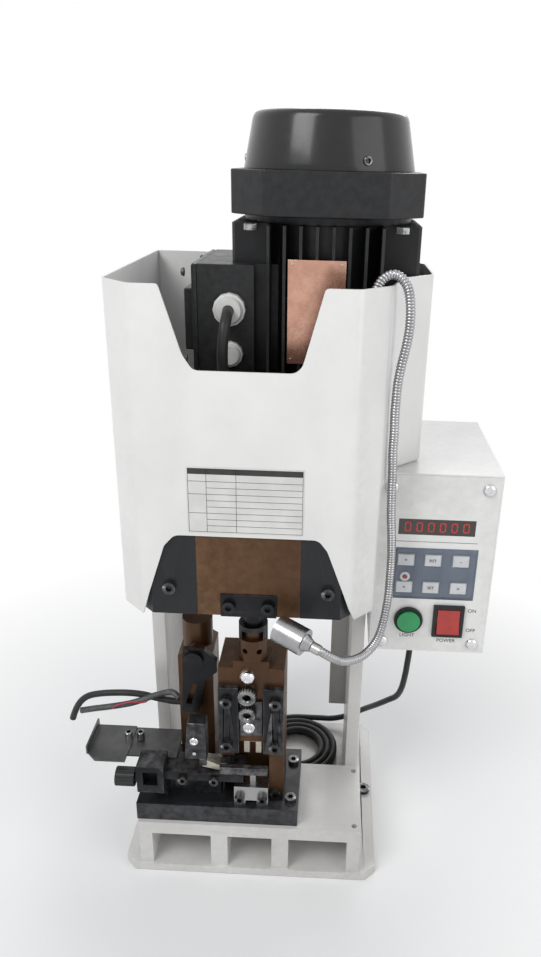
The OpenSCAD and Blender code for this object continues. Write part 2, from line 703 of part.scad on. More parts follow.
module motor_cable() color([0.1, 0.1, 0.1]) {
  q = smooth(motor_cable_way, 3);
  tube(q, [for (p = q) motor_cable_r], 8, [1, 0, 0]);
}

// Lamp on its ribbed hose

hose_way = [
  [80, -100, 475], [80, -100, 480], [80, -100, 490], [81, -99, 505], [84, -96, 520], [88, -93, 531],
  [92, -91.5, 537], [98, -90, 539.5], [104, -89, 537], [109, -88, 530], [111.5, -87, 518], [112, -86, 504],
  [110.5, -86, 490], [108.5, -86, 479], [106.5, -86, 464], [106, -86, 449], [106, -85, 439],
  [106.5, -84, 425], [106.5, -83, 411], [107.5, -81, 393], [108, -80, 374], [109, -78, 355],
  [110.5, -77, 338], [111.5, -76, 320], [111.5, -76, 303], [111, -78, 288], [109.5, -82, 276],
  [107, -89, 266], [103, -99, 259], [96, -111, 256], [87, -124, 257.5], [75.5, -135, 262],
  [66.5, -141, 269.5], [58.5, -142.8, 275.7], [52.1, -140, 277.5]];
hose_steps = 6;
hose_path = smooth(hose_way, hose_steps);
hose_radii = [for (i = [0 : len(hose_path) - 1])
  i < 3 || i > len(hose_path) - 4 || i % 2 == 0 ? hose_r : hose_r - rib_h];
hose_end = hose_way[len(hose_way) - 1];
lamp_way = unit([-23.9, 13, 5]);
module towards(way) rotate([0, acos(way[2]), atan2(way[1], way[0])]) children();
module gooseneck() color("silver") hose(hose_path, hose_radii, hose_bore_r, 8, [1, 0, 0]);
module lamp_mount() color("silver") translate([hose_way[0][0], hose_way[0][1], hose_way[0][2] - hose_r * 5])
  rotate(45) difference() {
    half = hose_r * 1.2;
    block([-half * 1.8, -half, 0], [half * 1.8, half, hose_r * 5]);
    translate([0, 0, hose_r * 3]) cylinder(r = hose_bore_r, h = hose_r * 3);
  }
lamp_neck_l = 6;
lamp_wall = 1.5;
module lamp_head() color("silver") translate(hose_end) towards(lamp_way) difference() {
  union() {
    cylinder(r1 = hose_r * 1.2, r2 = hose_r * 2, h = lamp_neck_l);
    translate([0, 0, lamp_neck_l]) cylinder(r = lamp_r, h = lamp_l - lamp_neck_l);
  }
  translate([0, 0, lamp_neck_l + lamp_wall * 2]) cylinder(r = lamp_r - lamp_wall, h = lamp_l);
}
module lamp_lens() color("lightyellow") translate(hose_end) towards(lamp_way)
  translate([0, 0, lamp_neck_l + lamp_wall * 2]) cylinder(r = lamp_r - lamp_wall, h = lamp_l * 0.6);

// Control box

panel_left = hood_reach;
panel_y = -control_front;
panel_t = 2;
panel_cx = panel_left + control_w / 2;
key_column_shares = [-0.235, -0.01, 0.222];
key_row_shares = [0.537, 0.383];
key_places = [for (r = key_row_shares, c = key_column_shares) [panel_cx + c * control_w, control_z + r * control_h]];
button_place = [panel_cx - control_w * 0.175, control_z + control_h * 0.191];
rocker_place = [panel_cx + control_w * 0.165, control_z + control_h * 0.192];
display_place = [panel_cx, control_z + control_h * 0.718];
display_w = control_w * 0.63;
display_h = control_h * 0.085;
rocker_w = rocker_frame_w * 0.72;
rocker_h = rocker_frame_h * 0.76;
module control_box() color("whitesmoke") difference() {
  block([panel_left, panel_y, control_z], [panel_left + control_w, panel_y + control_d, control_z + control_h]);
  block([panel_left + control_wall, panel_y - over, control_z + control_wall],
    [panel_left + control_w - control_wall, panel_y + control_d - control_wall, control_z + control_h - control_wall]);
  translate(cord_gland - [0, 0, over]) cylinder(r = cord_d / 2 + run_gap, h = control_wall + over * 2);
}
module window(place, w, h, grow = 0)
  block([place[0] - w / 2 - grow, panel_y - over, place[1] - h / 2 - grow],
    [place[0] + w / 2 + grow, panel_y + panel_t + over, place[1] + h / 2 + grow]);
key_gap = 0.2;
module front_panel() color("whitesmoke") difference() {
  block([panel_left + control_wall, panel_y, control_z + control_wall],
    [panel_left + control_w - control_wall, panel_y + panel_t, control_z + control_h - control_wall]);
  for (p = key_places) window(p, key_w, key_h, key_gap);
  window(display_place, display_w, display_h);
  window(rocker_place, rocker_w, rocker_h, cover_gap);
  translate([button_place[0], panel_y - over, button_place[1]]) rod_y(button_r + key_gap, panel_t + over * 2);
  front_holes(panel_screw_places);
}
module display_window()
  block([display_place[0] - display_w / 2, panel_y, display_place[1] - display_h / 2],
    [display_place[0] + display_w / 2, panel_y + panel_t * 3, display_place[1] + display_h / 2]);
panel_screw_places = [for (x = [-0.39, 0.39], z = [0.055, 0.925])
  [panel_cx + x * control_w, panel_y, control_z + z * control_h]];
module panel_screws() for (p = panel_screw_places) translate(p) {
  rotate([90, 0, 0]) cylinder(r1 = bolt_head_r * 0.8, r2 = bolt_head_r * 0.5, h = bolt_head_h / 2);
  rod_y(bolt_r, bolt_bite);
}
bezel_h = 3;
module switch_bezels() color([0.1, 0.1, 0.1]) {
  translate([button_place[0], panel_y, button_place[1]]) rotate([90, 0, 0])
    ring(button_r * 1.25, button_r + key_gap, bezel_h);
  difference() {
    block([rocker_place[0] - rocker_frame_w / 2, panel_y - bezel_h, rocker_place[1] - rocker_frame_h / 2],
      [rocker_place[0] + rocker_frame_w / 2, panel_y, rocker_place[1] + rocker_frame_h / 2]);
    translate([0, -bezel_h, 0]) window(rocker_place, rocker_w, rocker_h, cover_gap);
    window(rocker_place, rocker_w, rocker_h, cover_gap);
  }
}
board_y = panel_y + bolt_bite + cover_gap;
module control_board() color("darkgreen") {
  display_window();
  block([panel_left + control_wall * 2, board_y, control_z + control_wall * 4],
    [panel_left + control_w - control_wall * 2, board_y + panel_t, control_z + control_h - control_wall * 4]);
  for (x = [-0.3, 0.2]) block([panel_cx + x * control_w, board_y + panel_t, control_z + control_h * 0.6],
    [panel_cx + (x + 0.15) * control_w, board_y + control_d * 0.3, control_z + control_h * 0.85]);
}
button_proud = 5;
module key(i) color("lightsteelblue") translate([key_places[i][0], panel_y, key_places[i][1]])
  block([-key_w / 2, -key_travel * 1.5, -key_h / 2], [key_w / 2, panel_t, key_h / 2]);
module lamp_button() color("green") translate([button_place[0], panel_y - button_proud, button_place[1]])
  rod_y(button_r, button_proud + panel_t);
rocker_deep = 6;
rocker_pin_r = 1.5;
module power_rocker() color("red") translate([rocker_place[0] - rocker_w / 2, panel_y, rocker_place[1]])
  rotate([-rocker_angle, 0, 0]) {
    half = rocker_h / 2;
    rise = half * tan(rocker_angle);
    rotate([90, 0, 90]) linear_extrude(rocker_w)
      polygon([[-bezel_h, 0], [-bezel_h - rise, half - cover_gap], [0, half - cover_gap], [rocker_deep, half / 2],
        [rocker_deep, -half / 2], [0, cover_gap - half], [-bezel_h - rise, cover_gap - half]]);
    translate([-cover_gap / 2, 0, 0]) rod_x(rocker_pin_r, rocker_w + cover_gap);
  }

// Power cord, from its gland down behind the frame into the coil and the plug

cord_way = [
  [146, 35, 190], [146, 35, 183], [146, 35, 172], [146, 35, 156], [145, 35, 141], [144, 36, 127],
  [142, 40, 108], [138, 46, 93], [130, 54, 81], [119, 68, 63], [110, 82, 47], [99, 93, 32],
  [86, 97.5, 21.5], [72, 97.5, 18], [60, 97.5, 17.9], [47, 97.5, 17.9]];
cord_gland = [cord_way[0][0], cord_way[0][1], control_z];
module power_cord() color([0.1, 0.1, 0.1]) {
  q = smooth(cord_way, 3);
  tube(q, [for (p = q) cord_d / 2], 8, [1, 0, 0]);
}
coil_middle = [34, 51];
coil_low = base_t + cord_d / 2;
coil_end = 2 * coil_turns + 1 / 6;
coil_heading = 360 * coil_end + 180;
function coil_reach(t) = coil_r - coil_pitch * min(t, 2 * coil_turns + 0.5 - t);
function coil_rise(t) = coil_pitch * (1 + cos(360 * min(max(t - coil_turns, 0), 0.5))) / 2;
function coil_point(t) = let (a = 90 + 360 * t, r = coil_reach(t))
  [coil_middle[0] + r * cos(a), coil_middle[1] + r * sin(a), coil_low + coil_rise(t)];
coil_tail = 36;
coil_tail_way = [cos(coil_heading), sin(coil_heading), 0];
coil_path = let (first = coil_point(0), last = coil_point(coil_end)) concat(
  [cord_way[len(cord_way) - 1], first + [cord_d, 0, 0]],
  [for (i = [0 : 24 * coil_end]) coil_point(i / 24)],
  [last + coil_tail_way * coil_tail / 2, last + coil_tail_way * coil_tail]);
echo(coil_gap_to_itself = min([for (i = [0 : 2 : len(coil_path) - 1], j = [i + 16 : 1 : len(coil_path) - 1])
  norm(coil_path[i] - coil_path[j])]) - cord_d);
echo(hose_gap_to_itself = min([for (i = [0 : 8 : len(hose_path) - 1], j = [i + 40 : 2 : len(hose_path) - 1])
  norm(hose_path[i] - hose_path[j])]) - hose_r * 2);
module cord_coil() color([0.1, 0.1, 0.1]) tube(coil_path, [for (p = coil_path) cord_d / 2], 6, [0, 0, 1]);
plug_w = 22;
plug_l = 32;
plug_h = 14;
plug_pin_l = 12;
module power_plug() color([0.1, 0.1, 0.1])
  translate(coil_path[len(coil_path) - 1] - [0, 0, coil_low - base_t]) rotate(coil_heading + 90) {
    block([-plug_w / 2, -plug_l, 0], [plug_w / 2, 0, plug_h]);
    for (x = [-0.3, 0, 0.3]) block([plug_w * (x - 0.1), -plug_l - plug_pin_l, plug_h * 0.35],
      [plug_w * (x + 0.1), -plug_l, plug_h * 0.6]);
  }

// The tool: base plate, frame and sliding block

seat_left = seat_right - seat_w;
seat_front = -bench_reach + bench_reach * 0.034;
seat_back = -column_front - cover_gap;
seat_d = seat_back - seat_front;
seat_screw_places = [for (y = [seat_front + seat_d * 0.16, seat_back - seat_d * 0.227]) [seat_right - bolt_head_r * 1.37, y, seat_top]];
module tool_seat() color([0.1, 0.1, 0.1]) difference() {
  block([seat_left, seat_front, bench_top], [seat_right, seat_back, seat_top]);
  top_holes(seat_screw_places);
}
// Sideways place of the sliding block, left of the ram's middle
slide_shift = 1;
slide_x = ram_x - slide_shift;
slide_back = -64;
slide_front = slide_back - slide_d;
slide_half = slide_w / 2;
guide_y = slide_front - run_gap;
frame_back = slide_back + tool_back_d;
frame_top = seat_top + tool_frame_h;
wall_z = seat_top + tool_frame_h * 0.352;
leg_top = wall_z;
guide_z = seat_top + tool_frame_h * 0.4;
stop_y = slide_back + run_gap;
guide_screw_places = [for (s = [-1, 1], z = [0.13, 0.81])
  [slide_x + s * (slide_half + tool_wall * 0.45), guide_y - guide_t, guide_z + z * guide_h]];
leg_screw_places = [[slide_x + slide_half + tool_wall * 0.45, guide_y + guide_t, seat_top + bolt_head_r]];
module tool_frame() color([0.36, 0.25, 0.2]) difference() {
  union() {
    block([slide_x - slide_half - tool_wall, stop_y, seat_top], [slide_x + slide_half + tool_wall, frame_back, frame_top]);
    for (s = [-1, 1]) {
      x = [slide_x + s * (slide_half + run_gap), slide_x + s * (slide_half + tool_wall)];
      block([min(x), guide_y, wall_z], [max(x), stop_y, frame_top]);
    }
    block([slide_x + slide_half + run_gap, guide_y + guide_t, seat_top],
      [slide_x + slide_half + tool_wall, stop_y, wall_z]);
  }
  front_holes([for (p = guide_screw_places) p + [0, guide_t, 0]]);
  front_holes(leg_screw_places);
}
module guide_plates() color("silver") difference() {
  for (s = [-1, 1]) {
    x = [slide_x + s * slide_half * 0.7, slide_x + s * (slide_half + tool_wall)];
    block([min(x), guide_y - guide_t, guide_z], [max(x), guide_y, guide_z + guide_h]);
  }
  front_holes(guide_screw_places);
}
// The post stays before the frame's back wall
post_r = min(hook_r, slide_back - shank_y);
slide_low = slide_top - slide_h;
slide_screw_places = [for (z = [0.16, 0.38]) [slide_x - slide_w * 0.1, slide_front, slide_top - z * slide_h]];
module tool_slide() color([0.36, 0.25, 0.2]) difference() {
  union() {
    block([slide_x - slide_half, slide_front, slide_low], [slide_x + slide_half, slide_back, slide_top]);
    translate([ram_x, shank_y, slide_top]) {
      cylinder(r = post_r, h = post_h);
      cylinder(r = stud_r, h = post_h + stud_h);
    }
  }
  for (a = [-30, 30]) translate([ram_x, shank_y, slide_top + post_h / 2]) rotate([90, 0, a])
    translate([0, 0, hook_r / 2]) cylinder(r = bolt_r, h = hook_r);
  front_holes(slide_screw_places);
}
punch_half = anvil_w * 1.5;
punch_d = 7;
punch_front = guide_y - guide_t / 2;
anvil_x = ram_x;
module punches() color("silver") {
  punch_plate();
  front_screws(slide_screw_places, 1.2);
}
module punch_plate() difference() {
  block([anvil_x - punch_half, slide_front, slide_low - punch_l], [anvil_x + punch_half, slide_front + punch_d, slide_low]);
  block([anvil_x - anvil_w / 2 - run_gap * 4, slide_front - over, slide_low - punch_l - over],
    [anvil_x + anvil_w / 2 + run_gap * 4, slide_front + punch_d + over, slide_low - run_gap * 4]);
}
anvil_front = slide_front - punch_d;
module anvil_block() color("silver") difference() {
  union() {
    block([slide_x - slide_half, anvil_front, seat_top],
      [slide_x + slide_half, slide_front + punch_d, seat_top + anvil_block_h]);
    block([anvil_x - anvil_w / 2, slide_front, seat_top + anvil_block_h],
      [anvil_x + anvil_w / 2, slide_front + punch_d, seat_top + anvil_block_h + anvil_h]);
  }
  block([slide_x - anvil_w, anvil_front - over, seat_top - over],
    [slide_x + anvil_w, slide_front + punch_d + over, seat_top + anvil_block_h * 0.28]);
  front_holes(anvil_screw_places);
}
anvil_screw_places = [for (s = [-1, 1]) [slide_x + s * slide_w / 3, anvil_front, seat_top + anvil_block_h * 0.43]];

// The terminal feed beside the tool

rail_low = seat_top + rail_z;
rail_top = rail_low + rail_t;
rail_right = slide_x - slide_half * 0.47;
rail_left = rail_right - rail_l;
rail_back = slide_back - 1;
rail_front = guide_y - guide_t;
tower_inset = 8;
tower_left = rail_left + tower_inset;
tower_right = tower_left + tower_w;
tower_front = slide_back + tool_back_d / 2;
tower_top = seat_top + tower_h;
rail_screw_places = [for (share = [0.23, 0.63]) [rail_left + rail_l * share, rail_front, rail_low + rail_t / 4]];
module feed_bed() color([0.12, 0.12, 0.12]) difference() {
  union() {
    block([rail_left, rail_front, rail_low], [rail_right, rail_back, rail_top]);
    block([rail_left + rail_l * 0.1, rail_front + guide_t * 2, seat_top],
      [slide_x - slide_half - tool_wall - cover_gap, rail_back, rail_low]);
  }
  front_holes(rail_screw_places);
}
module feed_tower() color([0.36, 0.25, 0.2]) difference() {
  union() {
    translate([0, tower_front + tower_d, 0]) rotate([90, 0, 0]) linear_extrude(tower_d)
      polygon([[tower_left, seat_top], [tower_right, seat_top], [tower_right, tower_top - tower_w * 0.4],
        [tower_left + tower_w / 2, tower_top - tower_w * 0.1], [tower_left, tower_top - tower_w * 0.5]]);
    translate([(tower_left + tower_right) / 2, tower_front + tower_d / 2, tower_top - tower_w])
      cylinder(r = tower_w * 0.43, h = tower_w * 1.5);
  }
  translate([lever_x, tower_front - over, lever_z]) rod_y(bolt_r * 1.6 + run_gap, bolt_bite * 2 + over);
}
window_w = 24;
window_foot_h = 13;
window_left = rail_left - window_w;
window_front = seat_front;
window_z = seat_top + window_foot_h;
window_h = 28;
window_d = 22;
knob_z = window_z + window_h * 0.25;
knob_y = window_front + window_d / 2;
knob_gap = 12;
module window_block() color([0.12, 0.12, 0.12]) difference() {
  union() {
    block([window_left, window_front, window_z], [rail_left, window_front + window_d, window_z + window_h]);
    block([window_left + window_h / 2, window_front + window_d / 2, seat_top],
      [rail_left, window_front + window_d, window_z]);
    translate([window_left - knob_gap, knob_y, knob_z]) rod_x(bolt_r * 1.6, knob_gap + over);
  }
  block([window_left + window_h * 0.2, window_front - over, window_z + window_h * 0.3],
    [rail_left - window_h * 0.2, window_front + window_d / 3, window_z + window_h * 0.8]);
}
module feed_knob() color([0.1, 0.1, 0.1]) translate([window_left - knob_gap / 3 - knob_l, knob_y, knob_z]) rotate([90, 0, 90])
  difference() {
    linear_extrude(knob_l) union() {
      circle(r = knob_r * 0.94);
      for (k = [0 : 17]) rotate(20 * k) translate([knob_r * 0.9, 0]) circle(r = knob_r / 11, $fn = 16);
    }
    translate([0, 0, knob_l / 3]) cylinder(r = bolt_r * 1.6 + run_gap, h = knob_l);
  }
module feed_plate() color("gray") {
  y = [guide_y + guide_t * 1.5, guide_y + knob_l * 2.9];
  translate([0, 0, rail_top + strip_sheet_t]) {
    linear_extrude(strip_sheet_t) polygon([[rail_left - knob_l * 4.3, y[0] + knob_l * 0.2],
      [rail_left - knob_l * 3.8, y[0] - knob_l * 0.3], [rail_left - knob_l * 2.2, y[0] - knob_l * 0.3],
      [rail_left - knob_l * 2.2, y[1]], [rail_left - knob_l * 4.3, y[1]]]);
    block([rail_left - knob_l * 4.3 - strip_sheet_t, y[0] + knob_l * 0.2, 0],
      [rail_left - knob_l * 4.3, y[1], knob_l / 2]);
  }
  block([rail_left - knob_l * 2.4, window_front + window_d + cover_gap, rail_top],
    [tower_left - cover_gap, y[1], rail_top + strip_sheet_t]);
}
lever_x = (tower_left + tower_right) / 2;
lever_z = tower_top - tower_w * 0.45;
lever_t = 6;
lever_gap = 1;
lever_front = tower_front - lever_t - lever_gap;
module feed_lever() color([0.12, 0.12, 0.12]) {
  arm = tool_frame_h * 0.4;
  difference() {
    translate([0, lever_front + lever_t, 0]) rotate([90, 0, 0]) linear_extrude(lever_t)
      polygon([[lever_x - tower_w * 0.3, lever_z + tower_w * 0.3], [lever_x + tower_w * 0.3, lever_z + tower_w * 0.3],
        [tower_right + tower_w * 0.15, lever_z - tower_w * 0.05], [tower_right + tower_w * 0.15, lever_z - tower_w * 0.4],
        [lever_x + tower_w * 0.3, lever_z - tower_w * 0.7], [lever_x + tower_w * 0.1, lever_z - arm],
        [lever_x - tower_w * 0.4, lever_z - arm]]);
    translate([lever_x - tower_w * 0.1, lever_front - over, lever_z - arm * 0.65]) rotate([0, 15, 0])
      block([-bolt_r, 0, -arm * 0.2], [bolt_r, lever_t + over * 2, arm * 0.2]);
  }
  translate([lever_x, lever_front - bolt_head_h, lever_z]) rod_y(tower_w * 0.27, bolt_head_h);
  translate([lever_x, lever_front, lever_z]) rod_y(bolt_r * 1.6, lever_t + bolt_bite);
}
finger_travel = 6;
finger_w = 19;
finger_h = 13;
module feed_finger() color("beige") {
  right = rail_right - finger_travel * 3;
  block([right - finger_w, rail_front + guide_t / 2, rail_top + run_gap],
    [right, rail_front + guide_t / 2 + finger_h, rail_top + finger_h]);
  block([right - finger_w * 1.8, rail_front + guide_t / 2, rail_top + finger_h],
    [right - finger_w * 0.7, rail_front + guide_t / 2 + finger_h, lever_z - tool_frame_h * 0.43]);
}
pipe_way = [[-172, -42, 119], [-170, -42, 125], [-166, -42, 134], [-161, -42, 141], [-154, -42, 146], [-143, -42, 149],
  [-130, -42, 150.5], [-117, -42, 151], [-104, -42, 150], [-92, -42, 147], [-82, -42, 145], [-74, -42, 144],
  [tower_left - run_gap, -42, 144]];
module air_pipe() color([0.15, 0.15, 0.15]) {
  q = smooth(pipe_way, 2);
  tube(q, [for (p = q) pipe_r], 8, [0, 1, 0]);
}

// Screws of the frame and of the tool

module frame_screws() color([0.15, 0.15, 0.15]) {
  front_screws(gib_screw_places);
  top_screws(base_screw_places, 1.3);
  panel_screws();
}
module tool_screws() color([0.25, 0.25, 0.25]) {
  top_screws(seat_screw_places);
  front_screws(guide_screw_places);
  front_screws(leg_screw_places);
  front_screws(anvil_screw_places, 0.9);
  front_screws(rail_screw_places, 0.8);
}

base_plate();
bench();
left_column();
right_column();
head_block();
left_gib();
right_gib();
gearbox_housing();
bearings();
hood();
motor_housing();
stator();
motor_band();
fan_cover();
terminal_box();
terminal_cover();
cable_glands();
motor_cable();
lamp_mount();
gooseneck();
lamp_head();
lamp_lens();
control_box();
front_panel();
switch_bezels();
control_board();
power_cord();
cord_coil();
power_plug();
frame_screws();
tool_seat();
tool_frame();
guide_plates();
anvil_block();
feed_bed();
feed_plate();
feed_tower();
window_block();
air_pipe();
tool_screws();
ram();
ram_connector();
slider_block();
crankshaft();
worm_wheel();
rotor();
cooling_fan();
tool_slide();
punches();
feed_lever();
feed_finger();
feed_knob();
lamp_button();
power_rocker();
key(0);  // key_1
key(1);  // key_2
key(2);  // key_3
key(3);  // key_4
key(4);  // key_5
key(5);  // key_6
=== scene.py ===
"""Dresses the terminal crimping press.

Finishes, wound and ribbed leads, the sheet hood, the panel and small fittings.
"""
import math

import bmesh
import bpy
from mathutils import Matrix, Vector


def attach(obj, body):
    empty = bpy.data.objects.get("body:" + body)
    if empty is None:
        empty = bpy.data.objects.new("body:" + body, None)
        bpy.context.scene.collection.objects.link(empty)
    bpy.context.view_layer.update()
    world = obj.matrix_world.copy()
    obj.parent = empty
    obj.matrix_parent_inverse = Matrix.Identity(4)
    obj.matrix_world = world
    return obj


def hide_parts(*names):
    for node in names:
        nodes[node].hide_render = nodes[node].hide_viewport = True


MM = 0.001
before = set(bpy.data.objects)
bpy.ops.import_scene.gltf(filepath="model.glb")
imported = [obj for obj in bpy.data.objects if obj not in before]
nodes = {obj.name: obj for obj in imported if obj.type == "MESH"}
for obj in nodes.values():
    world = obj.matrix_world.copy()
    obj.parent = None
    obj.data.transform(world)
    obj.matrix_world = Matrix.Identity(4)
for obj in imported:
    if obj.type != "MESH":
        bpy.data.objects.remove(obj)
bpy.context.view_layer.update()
scene = bpy.context.scene


def mm(*values):
    """A point or a size given in millimetres, in metres."""
    return Vector(values) * MM


# Camera at the photograph's viewing angle

PHOTO_SIZE = (541, 957)
CAMERA_PLACE = mm(62.08, -622.16, 608.97)
CAMERA_RIGHT = Vector((0.99892, 0.04034, 0.02325))
CAMERA_UP = Vector((-0.03682, 0.37862, 0.92482))
FOCAL_PIXELS = 777.07
CENTRE_PIXEL = 309.37
SENSOR = 36.0


def make_camera():
    data = bpy.data.cameras.new("camera")
    data.sensor_fit = "AUTO"
    data.sensor_width = SENSOR
    data.lens = FOCAL_PIXELS / PHOTO_SIZE[1] * SENSOR
    data.shift_x = (PHOTO_SIZE[0] / 2 - CENTRE_PIXEL) / PHOTO_SIZE[1]
    data.clip_start = 0.01
    camera = bpy.data.objects.new("camera", data)
    scene.collection.objects.link(camera)
    back = CAMERA_RIGHT.cross(CAMERA_UP)
    turn = Matrix((CAMERA_RIGHT, CAMERA_UP, back)).transposed().to_4x4()
    camera.matrix_world = Matrix.Translation(CAMERA_PLACE) @ turn
    scene.camera = camera


make_camera()


# Materials

def node_tree(name):
    material = bpy.data.materials.new(name)
    material.use_nodes = True
    tree = material.node_tree
    return material, tree, tree.nodes["Principled BSDF"]


def add_noise(tree, scale, detail=4.0, stretch=(1, 1, 1), roughness=0.55):
    """Noise on object coordinates, stretched along an axis where stretch says so."""
    coords = tree.nodes.new("ShaderNodeTexCoord")
    mapping = tree.nodes.new("ShaderNodeMapping")
    mapping.inputs["Scale"].default_value = stretch
    noise = tree.nodes.new("ShaderNodeTexNoise")
    noise.inputs["Scale"].default_value = scale
    noise.inputs["Detail"].default_value = detail
    noise.inputs["Roughness"].default_value = roughness
    tree.links.new(coords.outputs["Object"], mapping.inputs["Vector"])
    tree.links.new(mapping.outputs["Vector"], noise.inputs["Vector"])
    return noise.outputs["Fac"]


def add_ramp(tree, source, low, high, left=0.35, right=0.65):
    ramp = tree.nodes.new("ShaderNodeValToRGB")
    ramp.color_ramp.elements[0].position = left
    ramp.color_ramp.elements[1].position = right
    ramp.color_ramp.elements[0].color = (*low, 1)
    ramp.color_ramp.elements[1].color = (*high, 1)
    tree.links.new(source, ramp.inputs["Fac"])
    return ramp.outputs["Color"]


def add_range(tree, source, low, high):
    remap = tree.nodes.new("ShaderNodeMapRange")
    remap.inputs["From Min"].default_value = 0.3
    remap.inputs["From Max"].default_value = 0.7
    remap.inputs["To Min"].default_value = low
    remap.inputs["To Max"].default_value = high
    tree.links.new(source, remap.inputs["Value"])
    return remap.outputs["Result"]


def add_edge_wear(tree, colour, worn, amount):
    """Mixes a worn colour in along convex edges, broken up by noise."""
    geometry = tree.nodes.new("ShaderNodeNewGeometry")
    edge = add_ramp(tree, geometry.outputs["Pointiness"], (0, 0, 0), (1, 1, 1), 0.52, 0.6)
    patchy = tree.nodes.new("ShaderNodeMath")
    patchy.operation = "MULTIPLY"
    spots = add_range(tree, add_noise(tree, 160.0), 0.0, amount)
    tree.links.new(edge, patchy.inputs[0])
    tree.links.new(spots, patchy.inputs[1])
    mix = tree.nodes.new("ShaderNodeMix")
    mix.data_type = "RGBA"
    tree.links.new(patchy.outputs["Value"], mix.inputs["Factor"])
    tree.links.new(colour, mix.inputs["A"])
    mix.inputs["B"].default_value = (*worn, 1)
    return mix.outputs["Result"]


def finish(name, colour, second, rough, metal=0.0, blotch=18.0, stretch=(1, 1, 1), grain=900.0, depth=0.00002,
           worn=None, wear=0.6, coat=0.0, sheen=0.0):
    """A surface with slow colour change, fine grain, uneven gloss and, if asked, worn edges."""
    material, tree, shader = node_tree(name)
    slow = add_noise(tree, blotch, 5.0, stretch)
    colour_out = add_ramp(tree, slow, colour, second)
    if worn:
        colour_out = add_edge_wear(tree, colour_out, worn, wear)
    tree.links.new(colour_out, shader.inputs["Base Color"])
    gloss = add_noise(tree, blotch * 4.0, 3.0, stretch)
    tree.links.new(add_range(tree, gloss, rough * 0.82, min(rough * 1.2, 1.0)), shader.inputs["Roughness"])
    shader.inputs["Metallic"].default_value = metal
    shader.inputs["Coat Weight"].default_value = coat
    shader.inputs["Coat Roughness"].default_value = 0.12
    shader.inputs["Sheen Weight"].default_value = sheen
    bump = tree.nodes.new("ShaderNodeBump")
    bump.inputs["Strength"].default_value = 0.6
    bump.inputs["Distance"].default_value = depth
    tree.links.new(add_noise(tree, grain, 3.0, stretch), bump.inputs["Height"])
    tree.links.new(bump.outputs["Normal"], shader.inputs["Normal"])
    return material


def glowing(name, colour, strength):
    material, tree, shader = node_tree(name)
    shade = add_ramp(tree, add_noise(tree, 220.0), colour, tuple(0.85 * c for c in colour))
    tree.links.new(shade, shader.inputs["Base Color"])
    tree.links.new(shade, shader.inputs["Emission Color"])
    shader.inputs["Emission Strength"].default_value = strength
    shader.inputs["Roughness"].default_value = 0.3
    return material


def clear(name, colour, rough):
    material, tree, shader = node_tree(name)
    shade = add_ramp(tree, add_noise(tree, 60.0), colour, tuple(0.94 * c for c in colour))
    tree.links.new(shade, shader.inputs["Base Color"])
    shader.inputs["Roughness"].default_value = rough
    shader.inputs["Transmission Weight"].default_value = 0.7
    shader.inputs["Coat Weight"].default_value = 0.5
    return material


WHITE = finish("white_paint", (0.80, 0.80, 0.78), (0.74, 0.745, 0.73), 0.34, grain=700, depth=0.00003,
               worn=(0.45, 0.44, 0.42), wear=0.25, coat=0.25)
PALE = finish("pale_paint", (0.72, 0.715, 0.70), (0.62, 0.61, 0.585), 0.4, blotch=12, grain=650,
              depth=0.00003,
              worn=(0.30, 0.27, 0.24), wear=0.5, coat=0.2)
CAST = finish("cast_paint", (0.010, 0.0105, 0.012), (0.012, 0.0125, 0.014), 0.42, blotch=30, grain=420,
              depth=0.00006,
              worn=(0.10, 0.10, 0.10), wear=0.3, coat=0.15)
BLACK_PAINT = finish("black_paint", (0.011, 0.012, 0.014), (0.014, 0.015, 0.018), 0.36, blotch=25, grain=600,
                     depth=0.00003, worn=(0.11, 0.11, 0.115), wear=0.5, coat=0.2)
OXIDE = finish("oxide_steel", (0.088, 0.040, 0.015), (0.062, 0.027, 0.011), 0.38, metal=0.55, blotch=22,
               stretch=(1, 1, 0.35), grain=520, depth=0.00004, worn=(0.26, 0.16, 0.09), wear=0.5)
BLACK_STEEL = finish("black_steel", (0.015, 0.016, 0.018), (0.022, 0.022, 0.024), 0.35, metal=0.7, blotch=40,
                     grain=700, depth=0.00003, worn=(0.26, 0.26, 0.27), wear=0.7)
SCREW = finish("screw_black", (0.022, 0.022, 0.024), (0.04, 0.04, 0.042), 0.24, metal=0.85, blotch=120,
               grain=900, worn=(0.62, 0.62, 0.62), wear=1.0)
STEEL = finish("plate_steel", (0.50, 0.50, 0.49), (0.40, 0.40, 0.395), 0.28, metal=1.0, blotch=14,
               stretch=(0.15, 1, 1), grain=1200, depth=0.00002)
CHROME = finish("chrome", (0.74, 0.74, 0.75), (0.66, 0.66, 0.67), 0.12, metal=1.0, blotch=60, grain=1500,
                depth=0.000008)
SHEET_GREY = finish("sheet_grey", (0.075, 0.077, 0.075), (0.055, 0.057, 0.056), 0.36, metal=0.5, blotch=25,
                    grain=900, depth=0.00002, worn=(0.3, 0.3, 0.3), wear=0.5)
HOSE_STEEL = finish("hose_steel", (0.40, 0.40, 0.41), (0.33, 0.33, 0.34), 0.27, metal=1.0, blotch=80,
                    grain=1500,
                    depth=0.000008)
GLOSS_BLACK = finish("fan_cover_black", (0.010, 0.010, 0.011), (0.012, 0.012, 0.013), 0.24, blotch=30,
                     grain=500,
                     depth=0.00002, coat=0.6)
BLACK_PLASTIC = finish("black_plastic", (0.014, 0.014, 0.015), (0.022, 0.022, 0.024), 0.42, blotch=60,
                       grain=1100,
                       depth=0.00003)
WHITE_PLASTIC = finish("white_plastic", (0.70, 0.70, 0.68), (0.62, 0.62, 0.60), 0.4, blotch=60, grain=900)
